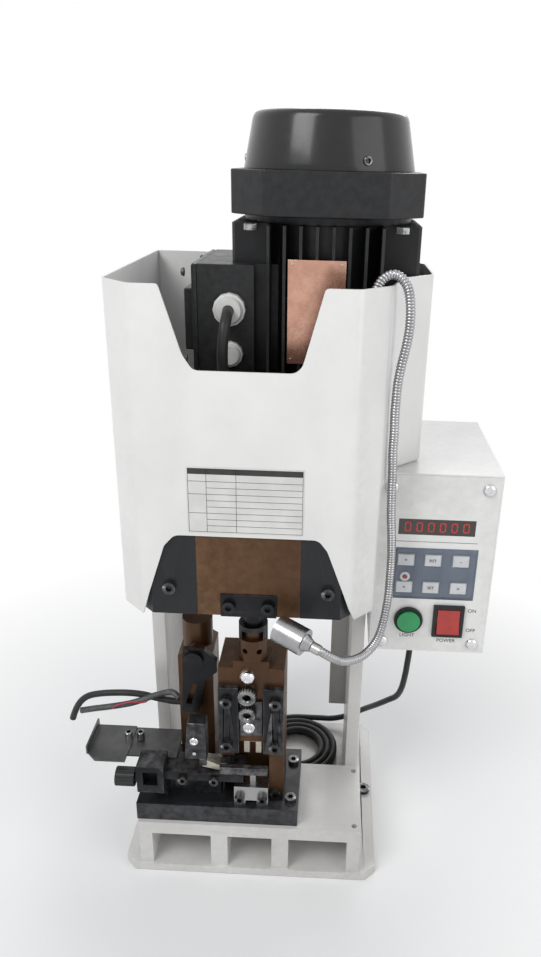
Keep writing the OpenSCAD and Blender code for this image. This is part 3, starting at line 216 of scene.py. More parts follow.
RUBBER = finish("cable_rubber", (0.012, 0.012, 0.013), (0.02, 0.02, 0.021), 0.46, blotch=90, grain=1400,
                depth=0.00003, sheen=0.15)
BRONZE = finish("bronze", (0.50, 0.30, 0.12), (0.42, 0.24, 0.09), 0.3, metal=1.0, blotch=40)
BRASS = finish("brass", (0.72, 0.55, 0.27), (0.6, 0.44, 0.2), 0.22, metal=1.0, blotch=90)
COPPER = finish("copper", (0.62, 0.36, 0.27), (0.5, 0.27, 0.2), 0.27, metal=1.0, blotch=90)
CREAM = finish("cream_steel", (0.55, 0.52, 0.44), (0.44, 0.41, 0.34), 0.3, metal=0.7, blotch=70)
KEYPAD = finish("keypad_film", (0.13, 0.155, 0.2), (0.115, 0.14, 0.185), 0.38, blotch=50, grain=1500,
                depth=0.00001)
KEY_CAP = finish("key_cap", (0.60, 0.61, 0.63), (0.54, 0.55, 0.57), 0.4, blotch=90, grain=1500, depth=0.00001)
GREEN = finish("green_cap", (0.0, 0.30, 0.085), (0.0, 0.24, 0.06), 0.22, blotch=90, coat=0.5)
RED = finish("red_cap", (0.42, 0.02, 0.012), (0.34, 0.014, 0.01), 0.22, blotch=90, coat=0.5)
INK = finish("printed_ink", (0.02, 0.02, 0.022), (0.03, 0.03, 0.032), 0.5, blotch=200)
WINDOW = finish("display_window", (0.012, 0.004, 0.004), (0.018, 0.006, 0.006), 0.12, blotch=90, coat=0.8)
DIGIT = glowing("display_digit", (0.55, 0.03, 0.02), 0.25)
LENS = clear("lamp_lens", (0.9, 0.88, 0.8), 0.08)
WIRE_RED = finish("red_wire", (0.5, 0.05, 0.08), (0.42, 0.04, 0.07), 0.4, blotch=90)
BRAID = finish("grey_braid", (0.10, 0.10, 0.10), (0.05, 0.05, 0.052), 0.5, metal=0.3, blotch=200)

for dark in (CAST, BLACK_PAINT, GLOSS_BLACK, BLACK_STEEL, BLACK_PLASTIC, RUBBER):
    dark.node_tree.nodes["Principled BSDF"].inputs["Specular IOR Level"].default_value = 0.28
    dark.node_tree.nodes["Principled BSDF"].inputs["Coat Weight"].default_value = 0.04
GLOSS_BLACK.node_tree.nodes["Principled BSDF"].inputs["Coat Weight"].default_value = 0.3

NODE_FINISH = {
    "base_plate": PALE, "bench": PALE, "left_column": PALE, "right_column": PALE, "head_block": PALE,
    "left_gib": BLACK_PAINT, "right_gib": BLACK_PAINT, "gearbox_housing": PALE, "bearings": STEEL, "hood": WHITE,
    "motor_housing": CAST, "stator": BRONZE, "motor_band": CAST, "fan_cover": GLOSS_BLACK, "terminal_box": CAST,
    "terminal_cover": CAST, "cable_glands": WHITE_PLASTIC, "motor_cable": RUBBER, "lamp_mount": STEEL,
    "gooseneck": CHROME, "lamp_head": HOSE_STEEL, "lamp_lens": LENS, "control_box": WHITE, "front_panel": WHITE,
    "switch_bezels": BLACK_PLASTIC, "control_board": WINDOW, "power_cord": RUBBER, "cord_coil": RUBBER,
    "power_plug": RUBBER, "frame_screws": SCREW, "tool_seat": BLACK_PAINT, "tool_frame": OXIDE,
    "guide_plates": BLACK_STEEL, "anvil_block": STEEL, "feed_bed": BLACK_STEEL, "feed_plate": SHEET_GREY,
    "feed_tower": OXIDE, "window_block": BLACK_STEEL, "air_pipe": RUBBER, "tool_screws": SCREW, "ram": OXIDE,
    "ram_connector": BLACK_STEEL, "slider_block": STEEL, "crankshaft": STEEL, "worm_wheel": BRONZE, "rotor": STEEL,
    "cooling_fan": BLACK_PLASTIC, "tool_slide": OXIDE, "punches": CREAM, "feed_lever": BLACK_STEEL,
    "feed_finger": CREAM, "feed_knob": BLACK_PLASTIC, "lamp_button": GREEN, "power_rocker": RED,
}
NODE_FINISH.update({f"key_{number}": KEY_CAP for number in range(1, 7)})


# Soft edges and smooth curves on the carried-over nodes

def smooth_by_angle(limit=math.radians(32)):
    """A modifier group that shades smooth, apart from edges sharper than the limit."""
    group = bpy.data.node_groups.new("smooth_by_angle", "GeometryNodeTree")
    group.interface.new_socket("Geometry", in_out="INPUT", socket_type="NodeSocketGeometry")
    group.interface.new_socket("Geometry", in_out="OUTPUT", socket_type="NodeSocketGeometry")
    start = group.nodes.new("NodeGroupInput")
    end = group.nodes.new("NodeGroupOutput")
    faces = group.nodes.new("GeometryNodeSetShadeSmooth")
    edges = group.nodes.new("GeometryNodeSetShadeSmooth")
    edges.domain = "EDGE"
    edges.inputs["Shade Smooth"].default_value = False
    angle = group.nodes.new("GeometryNodeInputMeshEdgeAngle")
    compare = group.nodes.new("FunctionNodeCompare")
    compare.inputs["B"].default_value = limit
    group.links.new(start.outputs[0], faces.inputs["Geometry"])
    group.links.new(faces.outputs[0], edges.inputs["Geometry"])
    group.links.new(angle.outputs["Unsigned Angle"], compare.inputs["A"])
    group.links.new(compare.outputs[0], edges.inputs["Selection"])
    group.links.new(edges.outputs[0], end.inputs[0])
    return group


SMOOTH = smooth_by_angle()
EDGE_WIDTH = {
    "base_plate": 0.8, "bench": 0.7, "left_column": 0.7, "right_column": 0.7, "head_block": 0.6, "motor_band": 1.6,
    "control_box": 0.5, "front_panel": 0.25, "motor_housing": 0.5, "terminal_box": 0.8, "terminal_cover": 1.4,
    "power_rocker": 0.8, "lamp_button": 0.9, "power_plug": 2.0, "tool_seat": 0.6, "ram": 0.5, "feed_finger": 0.4,
    "cable_glands": 0.4, "guide_plates": 0.6,
}
FREE_FORM = ("gooseneck", "power_cord", "cord_coil", "motor_cable", "air_pipe", "rotor", "worm_wheel",
             "front_panel")


def dress_node(name):
    piece = nodes[name]
    piece.data.materials.clear()
    piece.data.materials.append(NODE_FINISH[name])
    weld = piece.modifiers.new("weld", "WELD")
    weld.merge_threshold = 0.002 * MM
    if name not in FREE_FORM:
        bevel = piece.modifiers.new("edges", "BEVEL")
        bevel.width = EDGE_WIDTH.get(name, 0.35) * MM
        bevel.segments = 2
        bevel.limit_method = "ANGLE"
        bevel.angle_limit = math.radians(35)
        bevel.use_clamp_overlap = True
    shade = piece.modifiers.new("shade", "NODES")
    shade.node_group = SMOOTH
    flat = piece.modifiers.new("flat_faces", "WEIGHTED_NORMAL")
    flat.keep_sharp = True
    flat.weight = 90


for node_name in NODE_FINISH:
    dress_node(node_name)


# Tools for new pieces

def finish_piece(name, bm, material, body="root", node=None, soften=0.0, sharp=34):
    """Turns a bmesh, in metres in the row frame, into a piece that rides on a body."""
    bmesh.ops.remove_doubles(bm, verts=bm.verts, dist=0.0005 * MM)
    bmesh.ops.recalc_face_normals(bm, faces=bm.faces)
    for face in bm.faces:
        face.smooth = True
    mesh = bpy.data.meshes.new(name)
    for edge in bm.edges:
        edge.smooth = edge.calc_face_angle(0.0) < math.radians(sharp)
    bm.to_mesh(mesh)
    bm.free()
    mesh.materials.append(material)
    piece = bpy.data.objects.new(name, mesh)
    scene.collection.objects.link(piece)
    if soften:
        bevel = piece.modifiers.new("edges", "BEVEL")
        bevel.width = soften * MM
        bevel.segments = 3
        bevel.limit_method = "ANGLE"
        bevel.angle_limit = math.radians(35)
        shade = piece.modifiers.new("shade", "NODES")
        shade.node_group = SMOOTH
    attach(piece, body)
    if node:
        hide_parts(node)
    return piece


def add_block(bm, low, high):
    low, high = Vector(low) * MM, Vector(high) * MM
    size = high - low
    place = Matrix.Translation((low + high) / 2) @ Matrix.Diagonal((*size, 1))
    return bmesh.ops.create_cube(bm, size=1, matrix=place)["verts"]


def along(start, direction):
    """A matrix whose Z axis runs along a direction from a place."""
    turn = Vector((0, 0, 1)).rotation_difference(Vector(direction)).to_matrix().to_4x4()
    return Matrix.Translation(Vector(start) * MM) @ turn


def add_rod(bm, start, direction, radius, length, end_radius=None, sides=40):
    """A round rod or cone from a place along a direction, in millimetres."""
    if end_radius is None:
        end_radius = radius
    place = along(start, direction) @ Matrix.Translation((0, 0, length / 2 * MM))
    made = bmesh.ops.create_cone(bm, cap_ends=True, segments=sides, radius1=radius * MM,
                                 radius2=end_radius * MM, depth=length * MM, matrix=place)
    return made["verts"]


def add_spun(bm, profile, start, direction, sides=64):
    """Spins a profile of (radius, height) pairs round an axis from a place."""
    place = along(start, direction)
    for vert in bm.verts:
        vert.tag = True
    points = [bm.verts.new((radius * MM, 0, height * MM)) for radius, height in profile]
    edges = [bm.edges.new(pair) for pair in zip(points, points[1:])]
    bmesh.ops.spin(bm, geom=points + edges, axis=(0, 0, 1), cent=(0, 0, 0), steps=sides, angle=math.tau,
                   use_merge=True)
    fresh = [vert for vert in bm.verts if not vert.tag]
    bmesh.ops.remove_doubles(bm, verts=fresh, dist=0.0005 * MM)
    bmesh.ops.transform(bm, matrix=place, verts=[vert for vert in bm.verts if not vert.tag])


SCREW_SIDES = 36


def add_screw(bm, start, direction, radius, height):
    """A chamfered cap screw with a hex socket, standing on a place."""
    rim = radius * 0.12
    add_spun(bm, [(0, 0), (radius, 0), (radius, height - rim), (radius - rim, height),
                  (radius * 0.56, height), (radius * 0.5, height - rim * 0.6), (radius * 0.5, height * 0.45),
                  (0, height * 0.45)], start, direction, SCREW_SIDES)


def catmull(points, steps):
    """Points of a smooth curve through the given ones, as in the part's own cords."""
    path = []
    for i in range(len(points) - 1):
        a, b = points[max(i - 1, 0)], points[i]
        c, d = points[i + 1], points[min(i + 2, len(points) - 1)]
        for k in range(steps):
            t = k / steps
            bend = 2 * a - 5 * b + 4 * c - d + t * (3 * (b - c) + d - a)
            path.append(b + t / 2 * (c - a + t * bend))
    path.append(points[-1])
    return path


def even_path(path, step):
    """The path's points again, a step apart."""
    lengths = [0.0]
    for before, after in zip(path, path[1:]):
        lengths.append(lengths[-1] + (after - before).length)
    count = max(2, round(lengths[-1] / step))
    points = []
    i = 0
    for k in range(count + 1):
        target = lengths[-1] * k / count
        while i < len(path) - 2 and lengths[i + 1] < target:
            i += 1
        share = (target - lengths[i]) / max(lengths[i + 1] - lengths[i], 1e-9)
        points.append(path[i].lerp(path[i + 1], min(max(share, 0), 1)))
    return points


def add_sweep(bm, path, radii, sides=16):
    """A closed tube along a path, made by extruding a ring from point to point."""
    way = (path[1] - path[0]).normalized()
    side = way.orthogonal().normalized()
    turn = Matrix((side, way.cross(side), way)).transposed().to_4x4()
    ring = bmesh.ops.create_circle(bm, cap_ends=False, segments=sides, radius=1.0,
                                   matrix=Matrix.Translation(path[0]) @ turn @ Matrix.Scale(radii[0], 4))["verts"]
    first = list(ring)
    edges = list({edge for vert in ring for edge in vert.link_edges})
    last_frame = Matrix.Translation(path[0]) @ turn @ Matrix.Scale(radii[0], 4)
    for i in range(1, len(path)):
        ahead = path[min(i + 1, len(path) - 1)] - path[i - 1]
        turn = way.rotation_difference(ahead.normalized()).to_matrix().to_4x4() @ turn
        way = ahead.normalized()
        made = bmesh.ops.extrude_edge_only(bm, edges=edges)["geom"]
        ring = [item for item in made if isinstance(item, bmesh.types.BMVert)]
        edges = [item for item in made if isinstance(item, bmesh.types.BMEdge)]
        place = Matrix.Translation(path[i]) @ turn @ Matrix.Scale(radii[i], 4)
        bmesh.ops.transform(bm, matrix=place @ last_frame.inverted(), verts=ring)
        last_frame = place
    bmesh.ops.contextual_create(bm, geom=first)
    bmesh.ops.contextual_create(bm, geom=ring)


# Power cord: from the gland down behind the frame, into its coil, and the plug

CORD_D = 6.2
BASE_T = 8.0
COIL_MIDDLE = (34.0, 51.0)
COIL_R = 46.5
COIL_PITCH = 6.8
COIL_TURNS = 3
COIL_END = 2 * COIL_TURNS + 1 / 6
COIL_TAIL = 36.0
CORD_WAY = [
    (146, 35, 190), (146, 35, 183), (146, 35, 172), (146, 35, 156), (145, 35, 141), (144, 36, 127),
    (142, 40, 108), (138, 46, 93), (130, 54, 81), (119, 68, 63), (110, 82, 47), (99, 93, 32),
    (86, 97.5, 21.5), (72, 97.5, 18), (60, 97.5, 17.9), (47, 97.5, 17.9)]


def coil_point(turns):
    reach = COIL_R - COIL_PITCH * min(turns, 2 * COIL_TURNS + 0.5 - turns)
    rise = COIL_PITCH * (1 + math.cos(math.tau * min(max(turns - COIL_TURNS, 0), 0.5))) / 2
    angle = math.tau * (turns + 0.25)
    return mm(COIL_MIDDLE[0] + reach * math.cos(angle), COIL_MIDDLE[1] + reach * math.sin(angle),
              BASE_T + CORD_D / 2 + rise)


def cord_path():
    path = catmull([mm(*point) for point in CORD_WAY], 4)
    path.append(coil_point(0) + mm(CORD_D, 0, 0))
    turns = 0.0
    while turns <= COIL_END + 1e-6:
        path.append(coil_point(turns))
        turns += 1 / 48
    heading = math.tau * COIL_END + math.pi
    way = Vector((math.cos(heading), math.sin(heading), 0))
    for share in (0.33, 0.67, 1.0):
        path.append(coil_point(COIL_END) + way * COIL_TAIL * share * MM)
    return path


def make_power_cord():
    path = cord_path()
    bm = bmesh.new()
    add_sweep(bm, path, [CORD_D / 2 * MM] * len(path), 14)
    cord = finish_piece("power_lead", bm, RUBBER, sharp=60)
    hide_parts("power_cord", "cord_coil")


make_power_cord()


# Ribbed hose of the lamp, the motor's cable and the sensor lead

HOSE_R = 3.5
HOSE_WAY = [
    (80, -100, 475), (80, -100, 480), (80, -100, 490), (81, -99, 505), (84, -96, 520), (88, -93, 531),
    (92, -91.5, 537), (98, -90, 539.5), (104, -89, 537), (109, -88, 530), (111.5, -87, 518), (112, -86, 504),
    (110.5, -86, 490), (108.5, -86, 479), (106.5, -86, 464), (106, -86, 449), (106, -85, 439),
    (106.5, -84, 425), (106.5, -83, 411), (107.5, -81, 393), (108, -80, 374), (109, -78, 355),
    (110.5, -77, 338), (111.5, -76, 320), (111.5, -76, 303), (111, -78, 288), (109.5, -82, 276),
    (107, -89, 266), (103, -99, 259), (96, -111, 256), (87, -124, 257.5), (75.5, -135, 262),
    (66.5, -141, 269.5), (58.5, -142.8, 275.7), (52.1, -140, 277.5)]
RIB_STEP = 0.55
RIB_SHAPE = (1.0, 0.95, 0.8, 0.95)


def make_hose():
    path = even_path(catmull([mm(*point) for point in HOSE_WAY], 8), RIB_STEP * MM)
    radii = [HOSE_R * MM * RIB_SHAPE[i % len(RIB_SHAPE)] for i in range(len(path))]
    bm = bmesh.new()
    add_sweep(bm, path, radii, 16)
    hose = finish_piece("ribbed_hose", bm, HOSE_STEEL, node="gooseneck", sharp=70)
    bm = bmesh.new()
    for start, way in ((HOSE_WAY[0], (0, 0, 1)), (HOSE_WAY[-1], Vector(HOSE_WAY[-1]) - Vector(HOSE_WAY[-2]))):
        back = Vector(start) - Vector(way).normalized() * (0 if start == HOSE_WAY[0] else 7)
        add_rod(bm, back, way, HOSE_R * 1.14, 7)
    ends = finish_piece("hose_ferrules", bm, STEEL, soften=0.3)


MOTOR_CABLE_WAY = [
    (-17, -51, 506), (-17, -61, 506), (-17, -70, 503), (-18, -76, 495), (-19, -78, 482), (-19, -78, 466),
    (-18, -78, 450), (-15, -77, 434), (-10, -74, 424), (-2, -68, 418), (4, -58, 414), (8, -46, 412)]
PIPE_WAY = [
    (-172, -42, 119), (-170, -42, 125), (-166, -42, 134), (-161, -42, 141), (-154, -42, 146), (-143, -42, 149),
    (-130, -42, 150.5), (-117, -42, 151), (-104, -42, 150), (-92, -42, 147), (-82, -42, 145), (-74, -42, 144),
    (-67.6, -42, 144)]
BRAID_WAY = [(-162, -45, 131), (-148, -46, 135), (-132, -47, 139), (-116, -47, 143), (-104, -46, 147),
             (-92, -45, 152), (-80, -45, 156), (-74, -47, 157), (-69, -50, 154)]
WIRE_WAY = [(-131, -50, 139.5), (-125, -51, 144), (-117, -51, 147), (-110, -50, 147.5), (-104, -49, 146),
            (-99, -48, 147)]


def make_tube(name, way, radius, material, node=None, step=3.0, sides=14, shape=(1.0,)):
    path = even_path(catmull([mm(*point) for point in way], 6), step * MM)
    bm = bmesh.new()
    add_sweep(bm, path, [radius * MM * shape[i % len(shape)] for i in range(len(path))], sides)
    piece = finish_piece(name, bm, material, node=node, sharp=75)
    return piece


make_hose()
make_tube("motor_lead", MOTOR_CABLE_WAY, 4.0, RUBBER, node="motor_cable")
make_tube("air_tube", PIPE_WAY, 3.0, RUBBER, node="air_pipe")
make_tube("braided_sleeve", BRAID_WAY, 2.9, BRAID, step=0.8, shape=(1.0, 0.93))
make_tube("sensor_wire", WIRE_WAY, 0.7, WIRE_RED, step=2.0, sides=10)


# Hood: one folded sheet, open at the top, with a notch at its front

HOOD_LOW = 279.5
HOOD_TOP = 532.0
BULGE_LOW = 383.0
HOOD_WALL = 1.5


def round_corners(points, radius, steps=4):
    """The outline again, with each corner of a closed list of (x, z) points turned into an arc."""
    made = []
    for i, point in enumerate(points):
        corner = Vector(point[:2])
        amount = radius if len(point) == 2 else point[2]
        if amount == 0:
            made.append(tuple(corner))
            continue
        before = (Vector(points[i - 1][:2]) - corner)
        after = (Vector(points[(i + 1) % len(points)][:2]) - corner)
        reach = min(amount, before.length * 0.45, after.length * 0.45)
        start, end = corner + before.normalized() * reach, corner + after.normalized() * reach
        for k in range(steps + 1):
            t = k / steps
            made.append(tuple(start * (1 - t) ** 2 + corner * 2 * t * (1 - t) + end * t * t))
    return made


def make_hood():
    a, b, c, d = (-99.5, -89), (-77.5, -111), (77.5, -111), (99.5, -89)
    cross, e, f = (99.5, 72.7), (99.5, 84), (-99.5, 84)
    bulge = [d, (110.7, -46.6), (133, -25.8), (133, 38.3), cross]
    low, top, mid = HOOD_LOW, HOOD_TOP, BULGE_LOW
    front = round_corners([
        (-77.5, 289, 0), (-60.7, 340.7, 2), (-52.7, 349.8, 4), (54, 349.8, 4), (61, 340.7, 2), (77.5, 296, 0),
        (77.5, top, 0), (54, top, 2.5), (39.8, 479.4, 3), (34.8, 474.8, 4), (-34.8, 474.8, 4),
        (-41.8, 485.7, 3), (-56, top, 2.5), (-77.5, top, 0)], 0)
    faces = [
        [(x, -111, z) for x, z in front],
        [(*a, low), (-80.6, -107.9, low), (*b, 289), (*b, top), (*a, top)],
        [(*c, 296), (83.6, -104.9, low), (*d, low), (*d, mid), (*d, top), (*c, top)],
        [(*d, low), (*cross, low), (*cross, mid), (*d, mid)],
        [(*cross, low), (*e, low), (*e, top), (*cross, top), (*cross, mid)],
        [(*e, low), (*f, low), (*f, top), (*e, top)],
        [(*f, low), (*a, low), (*a, top), (*f, top)],
        [(*point, mid) for point in reversed(bulge)]]
    for start, end in zip(bulge, bulge[1:]):
        faces.append([(*start, mid), (*end, mid), (*end, top), (*start, top)])
    bm = bmesh.new()
    for face in faces:
        bm.faces.new([bm.verts.new(mm(*point)) for point in face])
    hood = finish_piece("folded_hood", bm, WHITE, node="hood", sharp=20)
    if hood.data.polygons[0].normal.y > 0:
        hood.data.flip_normals()
    folds = hood.modifiers.new("folds", "BEVEL")
    folds.width = 3.2 * MM
    folds.segments = 5
    folds.limit_method = "ANGLE"
    folds.angle_limit = math.radians(15)
    folds.use_clamp_overlap = True
    sheet = hood.modifiers.new("sheet", "SOLIDIFY")
    sheet.thickness = HOOD_WALL * MM
    sheet.offset = -1
    sheet.use_even_offset = True
    rims = hood.modifiers.new("rims", "BEVEL")
    rims.width = 0.35 * MM
    rims.segments = 2
    rims.limit_method = "ANGLE"
    rims.angle_limit = math.radians(60)
    shade = hood.modifiers.new("shade", "NODES")
    shade.node_group = SMOOTH


make_hood()


# Motor: spun fan cover with its grille, tie bolts, rating plate, terminal box screws

MOTOR = (52.0, 6.6)
MOTOR_HALF = 69.0
FAN_LOW = 602.0
FAN_TOP = 641.0


def make_fan_cover():
    h = FAN_TOP - FAN_LOW
    outer = [(61.9, -0.4), (63.8, 0), (63.9, 1.2), (63.2, 4.5), (57.6, h - 5.2), (56.6, h - 2.6),
             (55.2, h - 0.9), (52.8, h), (44.5, h)]
    inner = [(44.5, h - 1.5), (52.4, h - 1.5), (54.4, h - 2.6), (55.6, h - 5.4), (61.7, 4), (61.9, -0.4)]
    bm = bmesh.new()
    add_spun(bm, outer + inner, (*MOTOR, FAN_LOW), (0, 0, 1), 96)
    cover = finish_piece("spun_fan_cover", bm, GLOSS_BLACK, sharp=50)
    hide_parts("fan_cover")
    bm = bmesh.new()
    for radius in (8, 15, 22, 29, 36, 43.2):
        ring = [mm(MOTOR[0] + radius * math.cos(math.tau * k / 72), MOTOR[1] + radius * math.sin(math.tau * k / 72),
                   FAN_TOP - 1.3) for k in range(73)]
        add_sweep(bm, ring, [1.1 * MM] * 73, 8)
    for k in range(6):
        way = (math.cos(math.tau * k / 6), math.sin(math.tau * k / 6), 0)
        add_rod(bm, (*MOTOR, FAN_TOP - 2.2), way, 1.3, 45, sides=10)
    add_rod(bm, (*MOTOR, FAN_TOP - 2.4), (0, 0, 1), 7, 2)
    finish_piece("fan_grille", bm, GLOSS_BLACK, sharp=50)


def make_motor_fittings():
    bm = bmesh.new()
    for sx, sy in ((-1, -1), (1, -1), (1, 1), (-1, 1)):
        x, y = MOTOR[0] + sx * MOTOR_HALF * 0.78, MOTOR[1] + sy * MOTOR_HALF * 0.78
        add_rod(bm, (x, y, 566 - 4), (0, 0, 1), 5.2, 4.2, sides=6)
    for k in range(3):
        angle = math.tau * (k / 3 + 0.07) - math.pi / 2
        way = Vector((math.cos(angle), math.sin(angle), 0))
        add_screw(bm, Vector((*MOTOR, FAN_LOW + 7)) + way * 61.6, way, 3.2, 2.6)
    finish_piece("motor_bolts", bm, SCREW, sharp=30)
    bm = bmesh.new()
    add_block(bm, (26, -63.6, 470), (67, -62.5, 544))
    plate = finish_piece("rating_plate", bm, COPPER, soften=0.25)
    bm = bmesh.new()
    for x in (29, 64):
        for z in (473, 541):
            add_rod(bm, (x, -63.3, z), (0, -1, 0), 1.4, 1.0, end_radius=0.9, sides=20)
    finish_piece("plate_rivets", bm, STEEL, sharp=30)
    bm = bmesh.new()
    for y in (-43, 39):
        for z in (466, 531):
            add_rod(bm, (-51.2, y, z), (-1, 0, 0), 3.4, 2.2, end_radius=2.6, sides=24)
    finish_piece("terminal_screws", bm, SCREW, soften=0.2)


make_fan_cover()
make_motor_fittings()


# Control panel: keypad film, legends, display digits, ring lamp, switch lettering

PANEL_X = 148.75
PANEL_Y = -53.0
KEYS = [(PANEL_X + 98.5 * x, 218 + 165 * z) for z in (0.537, 0.383) for x in (-0.235, -0.01, 0.222)]
# Strokes of a nought: sideways and upward place, and whether the stroke lies flat
NOUGHT = ((0, 1, True), (1, 0.5, False), (1, -0.5, False), (0, -1, True), (-1, -0.5, False), (-1, 0.5, False))


def make_keypad():
    xs = sorted({117.0, 184.0} | {x + s * 7.0 for x, _ in KEYS for s in (-1, 1)})
    zs = sorted({270.0, 317.5} | {z + s * 5.5 for _, z in KEYS for s in (-1, 1)})
    bm = bmesh.new()
    for x0, x1 in zip(xs, xs[1:]):
        for z0, z1 in zip(zs, zs[1:]):
            if any(abs((x0 + x1) / 2 - x) < 6.5 and abs((z0 + z1) / 2 - z) < 5 for x, z in KEYS):
                continue
            bm.faces.new([bm.verts.new(mm(*p)) for p in (
                (x0, PANEL_Y, z0), (x1, PANEL_Y, z0), (x1, PANEL_Y, z1), (x0, PANEL_Y, z1))])
    film = finish_piece("keypad_film", bm, KEYPAD)
    if film.data.polygons[0].normal.y > 0:
        film.data.flip_normals()
    thick = film.modifiers.new("film", "SOLIDIFY")
    thick.thickness = 0.3 * MM
    thick.offset = 1
    for i, (x, z) in enumerate(KEYS):
        bm = bmesh.new()
        add_block(bm, (x - 6.2, PANEL_Y - 1.35, z - 4.7), (x + 6.2, PANEL_Y - 1.15, z + 4.7))
        piece = finish_piece(f"key_face_{i + 1}", bm, KEY_CAP, body=f"key_{i + 1}_cap")


def add_text(name, words, size, x, y, z, material, body="root", bold=0.0):
    """Plain words standing on a face that looks to the front."""
    data = bpy.data.curves.new(name, "FONT")
    data.body = words
    data.size = size * MM
    data.extrude = 0.06 * MM
    data.offset = bold * MM
    data.align_x = "CENTER"
    data.align_y = "CENTER"
    text = bpy.data.objects.new(name, data)
    scene.collection.objects.link(text)
    text.matrix_world = Matrix.Translation(mm(x, y, z)) @ Matrix.Rotation(math.pi / 2, 4, "X")
    bpy.context.view_layer.update()
    mesh = bpy.data.meshes.new_from_object(text.evaluated_get(bpy.context.evaluated_depsgraph_get()))
    mesh.transform(text.matrix_world)
    bpy.data.objects.remove(text)
    piece = bpy.data.objects.new(name, mesh)
    mesh.materials.clear()
    mesh.materials.append(material)
    scene.collection.objects.link(piece)
    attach(piece, body)
    return piece


def make_display():
    bm = bmesh.new()
    for k in range(6):
        cx = PANEL_X + (k - 2.5) * 9.4
        for sx, sz, flat in NOUGHT:
            x, z = cx + sx * 2.1, 336.5 + sz * 3.7
            half = (1.75, 0.42) if flat else (0.42, 1.55)
            add_block(bm, (x - half[0], PANEL_Y - 0.12, z - half[1]), (x + half[0], PANEL_Y + 0.03, z + half[1]))
    finish_piece("display_digits", bm, DIGIT)


def make_panel_marks():
    for i, mark in enumerate(("+", "RST", "-", "<", "SET", ">")):
        x, z = KEYS[i]
        add_text(f"key_mark_{i + 1}", mark, 4.6 if len(mark) == 1 else 3.6, x, PANEL_Y - 1.38, z, INK,
                 body=f"key_{i + 1}_cap", bold=0.05)
    add_text("word_on", "ON", 4.6, 184.6, PANEL_Y - 0.05, 259.7, INK)
    add_text("word_off", "OFF", 4.6, 185.0, PANEL_Y - 0.05, 240.5, INK)
    add_text("word_light", "LIGHT", 4.6, 131.5, PANEL_Y - 0.05, 233.5, INK)
    add_text("word_power", "POWER", 4.6, 165, PANEL_Y - 0.05, 229.5, INK)
    bm = bmesh.new()
    add_spun(bm, [(2.0, 0), (4.2, 0), (4.2, 0.8), (3.6, 1.3), (2.4, 1.3), (2.0, 0.9), (2.0, 0)],
             (125.7, PANEL_Y, 291), (0, -1, 0), 40)
    finish_piece("sensor_ring", bm, KEY_CAP, sharp=50)
    bm = bmesh.new()
    add_spun(bm, [(0, 0), (1.95, 0), (1.95, 0.5), (1.2, 1.1), (0, 1.3)], (125.7, PANEL_Y, 291), (0, -1, 0), 28)
    finish_piece("ring_lamp", bm, RED, sharp=60)


make_keypad()
make_display()
make_panel_marks()


# Ruled plate on the hood, screws and rule of the panel

TABLE_LOW = (-42.0, 353.0)
TABLE_HIGH = (43.0, 405.0)
TABLE_ROWS = 10
TABLE_COLUMNS = (0.0, 0.16, 0.42, 1.0)


def make_table_plate():
    (x0, z0), (x1, z1) = TABLE_LOW, TABLE_HIGH
    bm = bmesh.new()
    add_block(bm, (x0, -111.35, z0), (x1, -110.95, z1))
    finish_piece("table_plate", bm, WHITE_PLASTIC, soften=0.1)
    bm = bmesh.new()
    row = (z1 - z0 - 2) / TABLE_ROWS
    add_block(bm, (x0 + 1, -111.42, z1 - 1 - row * 0.9), (x1 - 1, -111.3, z1 - 1))
    for k in range(2, TABLE_ROWS + 1):
        z = z1 - 1 - row * k
        left = x0 + 1 if k in (2, 4, 7, 10) else x0 + 1 + (x1 - x0 - 2) * TABLE_COLUMNS[1]
        add_block(bm, (left, -111.42, z - 0.15), (x1 - 1, -111.3, z + 0.15))
    for share in TABLE_COLUMNS:
        x = x0 + 1 + (x1 - x0 - 2) * share
        add_block(bm, (x - 0.15, -111.42, z0 + 1), (x + 0.15, -111.3, z1 - 1))
    finish_piece("table_rules", bm, INK)


def make_panel_screws():
    bm = bmesh.new()
    for x in (110.34, 187.16):
        for z in (227.08, 370.63):
            add_spun(bm, [(0.01, -0.1), (5.4, -0.1), (5.3, 0.9), (4.2, 2.2), (2.4, 2.9), (1.2, 2.9), (1.2, 2.2),
                          (0.01, 2.2)], (x, PANEL_Y, z), (0, -1, 0), 32)
    finish_piece("panel_screw_caps", bm, CHROME, sharp=45)
    bm = bmesh.new()
    add_block(bm, (115, PANEL_Y - 0.08, 323.1), (182.5, PANEL_Y + 0.02, 323.5))
    finish_piece("panel_rule", bm, INK)


make_table_plate()
make_panel_screws()


# Tool: dials, punch plate, stripper bar and small screws

SLIDE_FRONT = -86.0


def make_dial(name, x, z, rim, height, hole, material, teeth, body="tool_ram"):
    """A serrated adjusting dial that stands forward of the tool's slide."""
    bm = bmesh.new()
    add_spun(bm, [(hole, height * 0.3), (0.01, height * 0.3), (0.01, -0.6), (rim * 0.86, -0.6), (rim * 0.9, height * 0.25),
                  (rim, height * 0.4), (rim, height * 0.86), (rim * 0.9, height), (hole * 1.25, height),
                  (hole, height * 0.9), (hole, height * 0.3)], (x, SLIDE_FRONT, z), (0, -1, 0), 96)
    for vert in bm.verts:
        along_axis = SLIDE_FRONT - vert.co.y / MM
        out = Vector((vert.co.x / MM - x, vert.co.z / MM - z))
        if along_axis > height * 0.35 and out.length > rim * 0.88:
            wave = 1 - 0.055 * (0.5 + 0.5 * math.cos(teeth * math.atan2(out.y, out.x)))
            vert.co.x = (x + out.x * wave) * MM
            vert.co.z = (z + out.y * wave) * MM
    piece = finish_piece(name, bm, material, body=body, sharp=34)


